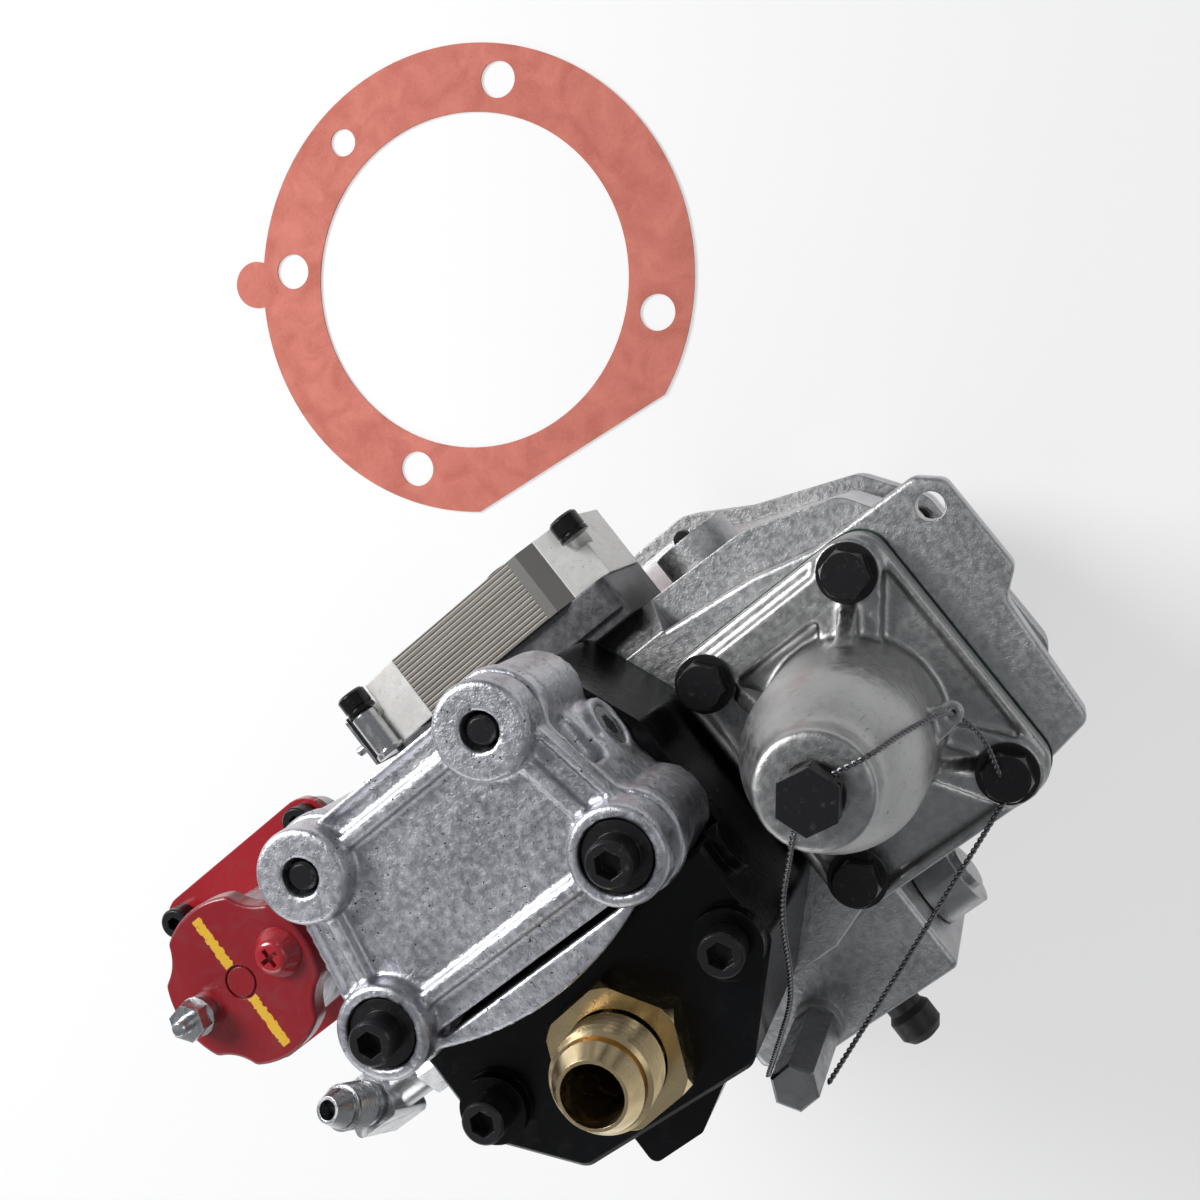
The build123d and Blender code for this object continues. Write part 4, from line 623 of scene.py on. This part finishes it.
def twistedWire(name, corners, spec):
    spine = roundedRoute(corners, spec)
    last = len(spine) - 1
    strands = []
    for half in range(2):
        curve = bpy.data.curves.new(name + str(half), "CURVE")
        curve.dimensions = "3D"
        curve.bevel_depth = spec["strand"]
        curve.bevel_resolution = spec["sides"]
        curve.use_fill_caps = True
        line = curve.splines.new("POLY")
        line.points.add(last)
        for number, point in enumerate(spine):
            ahead = spine[min(number + 1, last)] - spine[max(number - 1, 0)]
            side = ahead.cross(Vector(spec["guide"])).normalized()
            over = ahead.cross(side).normalized()
            angle = tau * number * spec["step"] / spec["pitch"] + pi * half
            place = point + (side * cos(angle) + over * sin(angle)) * spec["lay"]
            line.points[number].co = (*place, 1)
        strand = bpy.data.objects.new(name + str(half), curve)
        bpy.context.collection.objects.link(strand)
        wake(strand)
        bpy.ops.object.convert(target="MESH")
        strands.append(bpy.context.object)
    wire = joinAll(name, strands)
    bpy.ops.object.shade_smooth()
    dress(wire, "wire")
    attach(wire, "housing")
    return wire


turnedCrease = 30


# a plain turned piece that belongs to the housing
def turnedPiece(name, points, spec, finish):
    piece = turnProfile(name, points, spec)
    bpy.ops.object.shade_smooth_by_angle(angle=radians(turnedCrease))
    dress(piece, finish)
    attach(piece, "housing")
    return piece


headSet = {
    "places": {"actuatorHeadA": (-0.0366, 0.0938, 0.1502),
               "actuatorHeadB": (0.0545, 0.0928, 0.1492)},
    "tall": 0.0072, "radius": 0.0049, "socket": 0.0024, "deep": 0.0028, "round": 0.0008,
    "groove": (0.0012, 0.0014, 0.0018, 0.0020), "grooveDeep": 0.0003, "steps": 36,
}


# a socket head on the end cap, its axis along Y, with a shallow groove near its foot
def actuatorHead(name, place, spec):
    x, top, z = place
    low, r = top - spec["tall"], spec["radius"]
    inner = r - spec["grooveDeep"]
    floor = top - spec["deep"]
    one, two, three, four = (low + height for height in spec["groove"])
    rings = [(0.0, low), (r, low), (r, one), (inner, two), (inner, three), (r, four),
             (r, top - spec["round"]), (r - spec["round"], top), (spec["socket"], top),
             (spec["socket"], floor), (0.0, floor)]
    turning = {"steps": spec["steps"], "at": (x, 0, z), "along": (0, 1, 0)}
    return turnedPiece(name, rings, turning, "screwBlack")


actuatorHeads = [actuatorHead(headName, place, headSet)
                 for headName, place in headSet["places"].items()]

columnSet = {
    "at": (-0.0366, 0, 0.1508), "along": (0, 1, 0), "low": 0.0704, "top": 0.0868,
    "radius": 0.0043, "collar": 0.0007, "collarTop": 0.0016, "collarEnd": 0.0021,
    "tipTall": 0.0012, "tipIn": 0.0010, "steps": 40,
}


# the round post under the first head, with a collar at its foot
def actuatorColumn(name, spec):
    low, top, r = spec["low"], spec["top"], spec["radius"]
    wide = r + spec["collar"]
    rings = [(0.0, low), (wide, low), (wide, low + spec["collarTop"]),
             (r, low + spec["collarEnd"]), (r, top - spec["tipTall"]),
             (r - spec["tipIn"], top), (0.0, top)]
    turnedPiece(name, rings, spec, "brightSteel")


actuatorColumn("actuatorColumn", columnSet)

plateSet = {
    "terminalGasket": {"from": (-0.0447, 0.0706, 0.1180), "to": (-0.0438, 0.0886, 0.1475),
                       "bevel": 0.0003, "segments": 3, "finish": "plastic",
                       "slot": "black_plastic"},
    "terminalPlate": {"from": (-0.0462, 0.0710, 0.1190), "to": (-0.0447, 0.0880, 0.1465),
                      "bevel": 0.0003, "segments": 3, "finish": "brightSteel",
                      "slot": "machined_steel"},
}


def bevelledBlock(name, spec):
    low, high = Vector(spec["from"]), Vector(spec["to"])
    bpy.ops.object.select_all(action="DESELECT")
    bpy.ops.mesh.primitive_cube_add(size=1, location=(0, 0, 0))
    block = bpy.context.object
    block.name = name
    block.data.transform(Matrix.Translation((low + high) / 2) @ Matrix.Diagonal((*(high - low), 1)))
    bevel = block.modifiers.new("bevel", "BEVEL")
    bevel.width = spec["bevel"]
    bevel.segments = spec["segments"]
    applyAll(block)
    dress(block, spec["finish"])
    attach(block, "housing")


for plateName, plateSpec in plateSet.items():
    bevelledBlock(plateName, plateSpec)

postSet = {
    "places": {"leadPostA": (0.0785, 0.1245), "leadPostB": (0.0785, 0.1390)},
    "foot": -0.0460, "reach": 0.0064, "radius": 0.0016, "tipChamfer": 0.0005,
    "nut": 0.0031, "nutTall": 0.0018, "nutChamfer": 0.0005, "nutTop": 0.0022, "steps": 28,
}


# a post and its nut, out of the terminal plate along -X
def leadPost(name, place, spec):
    y, z = place
    reach, r, nut = spec["reach"], spec["radius"], spec["nut"]
    rings = [(0.0, 0), (nut, 0), (nut, spec["nutTall"]), (nut - spec["nutChamfer"], spec["nutTop"]),
             (r, spec["nutTop"]), (r, reach - spec["tipChamfer"]), (r - spec["tipChamfer"], reach),
             (0.0, reach)]
    turning = {"steps": spec["steps"], "at": (spec["foot"], y, z), "along": (-1, 0, 0)}
    turnedPiece(name, rings, turning, "brightSteel")


for postName, postPlace in postSet["places"].items():
    leadPost(postName, postPlace, postSet)
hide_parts("actuator_terminals")
print("actuator ends detailed")

sealWires = [twistedWire(routeName, route, wireSet)
             for routeName, route in wireSet["routes"].items()]
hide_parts("seal_wires")
print("seal wires twisted:", len(sealWires))

floorSet = {
    "size": 4.0, "at": (0.1, 0.1, -0.0004), "cuts": 4, "shade": (0.88, 0.88, 0.89),
    "rough": 0.9, "clear": 0.55, "gloss": 0.35,
}


# pale floor that keeps the shadow and shows part of a clear white to the camera and to shiny metal
def makeFloor(spec):
    bpy.ops.object.select_all(action="DESELECT")
    bpy.ops.mesh.primitive_grid_add(x_subdivisions=spec["cuts"], y_subdivisions=spec["cuts"],
                                    size=spec["size"], location=spec["at"])
    floor = bpy.context.object
    floor.name = "floor"
    finish = Finish("paleFloor")
    links = finish.tree.links
    finish.set(Base_Color=spec["shade"], Roughness=spec["rough"])
    seen = finish.node("ShaderNodeLightPath", {}, {}, "Is Camera Ray")
    glossy = finish.node("ShaderNodeLightPath", {}, {}, "Is Glossy Ray")
    share = seen * spec["clear"] + glossy * spec["gloss"]
    clear = finish.node("ShaderNodeEmission", {}, {"Color": (1.0, 1.0, 1.0), "Strength": 1.0})
    mix = finish.node("ShaderNodeMixShader", {}, {0: share, 2: clear})
    links.new(finish.surface.outputs[0], mix.socket.node.inputs[1])
    links.new(mix.socket, finish.tree.nodes["Material Output"].inputs["Surface"])
    floor.data.materials.append(finish.material)


lampAim = (0.03, 0.05, 0.12)
lampSet = {
    "key": {"at": (-0.35, 0.85, 0.90), "size": (0.5, 0.5), "power": 14.5},
    "fill": {"at": (-0.7, -0.35, 0.6), "size": (0.8, 0.5), "power": 2.2},
    "rim": {"at": (0.75, -0.25, 0.9), "size": (0.5, 0.5), "power": 1.2},
}


def areaLight(name, spec):
    lamp = bpy.data.lights.new(name, "AREA")
    lamp.shape = "RECTANGLE"
    lamp.size, lamp.size_y = spec["size"]
    lamp.energy = spec["power"]
    holder = bpy.data.objects.new(name, lamp)
    bpy.context.collection.objects.link(holder)
    aim = (Vector(spec["at"]) - Vector(lampAim)).to_track_quat("Z", "Y")
    holder.matrix_world = Matrix.Translation(spec["at"]) @ aim.to_matrix().to_4x4()


worldSet = {"shade": (0.90, 0.93, 0.98), "strength": 0.22}


# lit by a faint cool sky, seen by the camera as white
def makeWorld(spec):
    world = bpy.data.worlds.new("studio")
    bpy.context.scene.world = world
    world.use_nodes = True
    made, links = world.node_tree.nodes, world.node_tree.links
    background = made["Background"]
    background.inputs["Color"].default_value = (*spec["shade"], 1)
    background.inputs["Strength"].default_value = spec["strength"]
    rays = made.new("ShaderNodeLightPath")
    pale = made.new("ShaderNodeBackground")
    pale.inputs["Color"].default_value = (1, 1, 1, 1)
    mix = made.new("ShaderNodeMixShader")
    links.new(rays.outputs["Is Camera Ray"], mix.inputs[0])
    links.new(background.outputs[0], mix.inputs[1])
    links.new(pale.outputs[0], mix.inputs[2])
    links.new(mix.outputs[0], made["World Output"].inputs["Surface"])


makeFloor(floorSet)
for lampName, lampSpec in lampSet.items():
    areaLight(lampName, lampSpec)
makeWorld(worldSet)
bpy.context.scene.view_settings.view_transform = "Standard"
print("stage built")
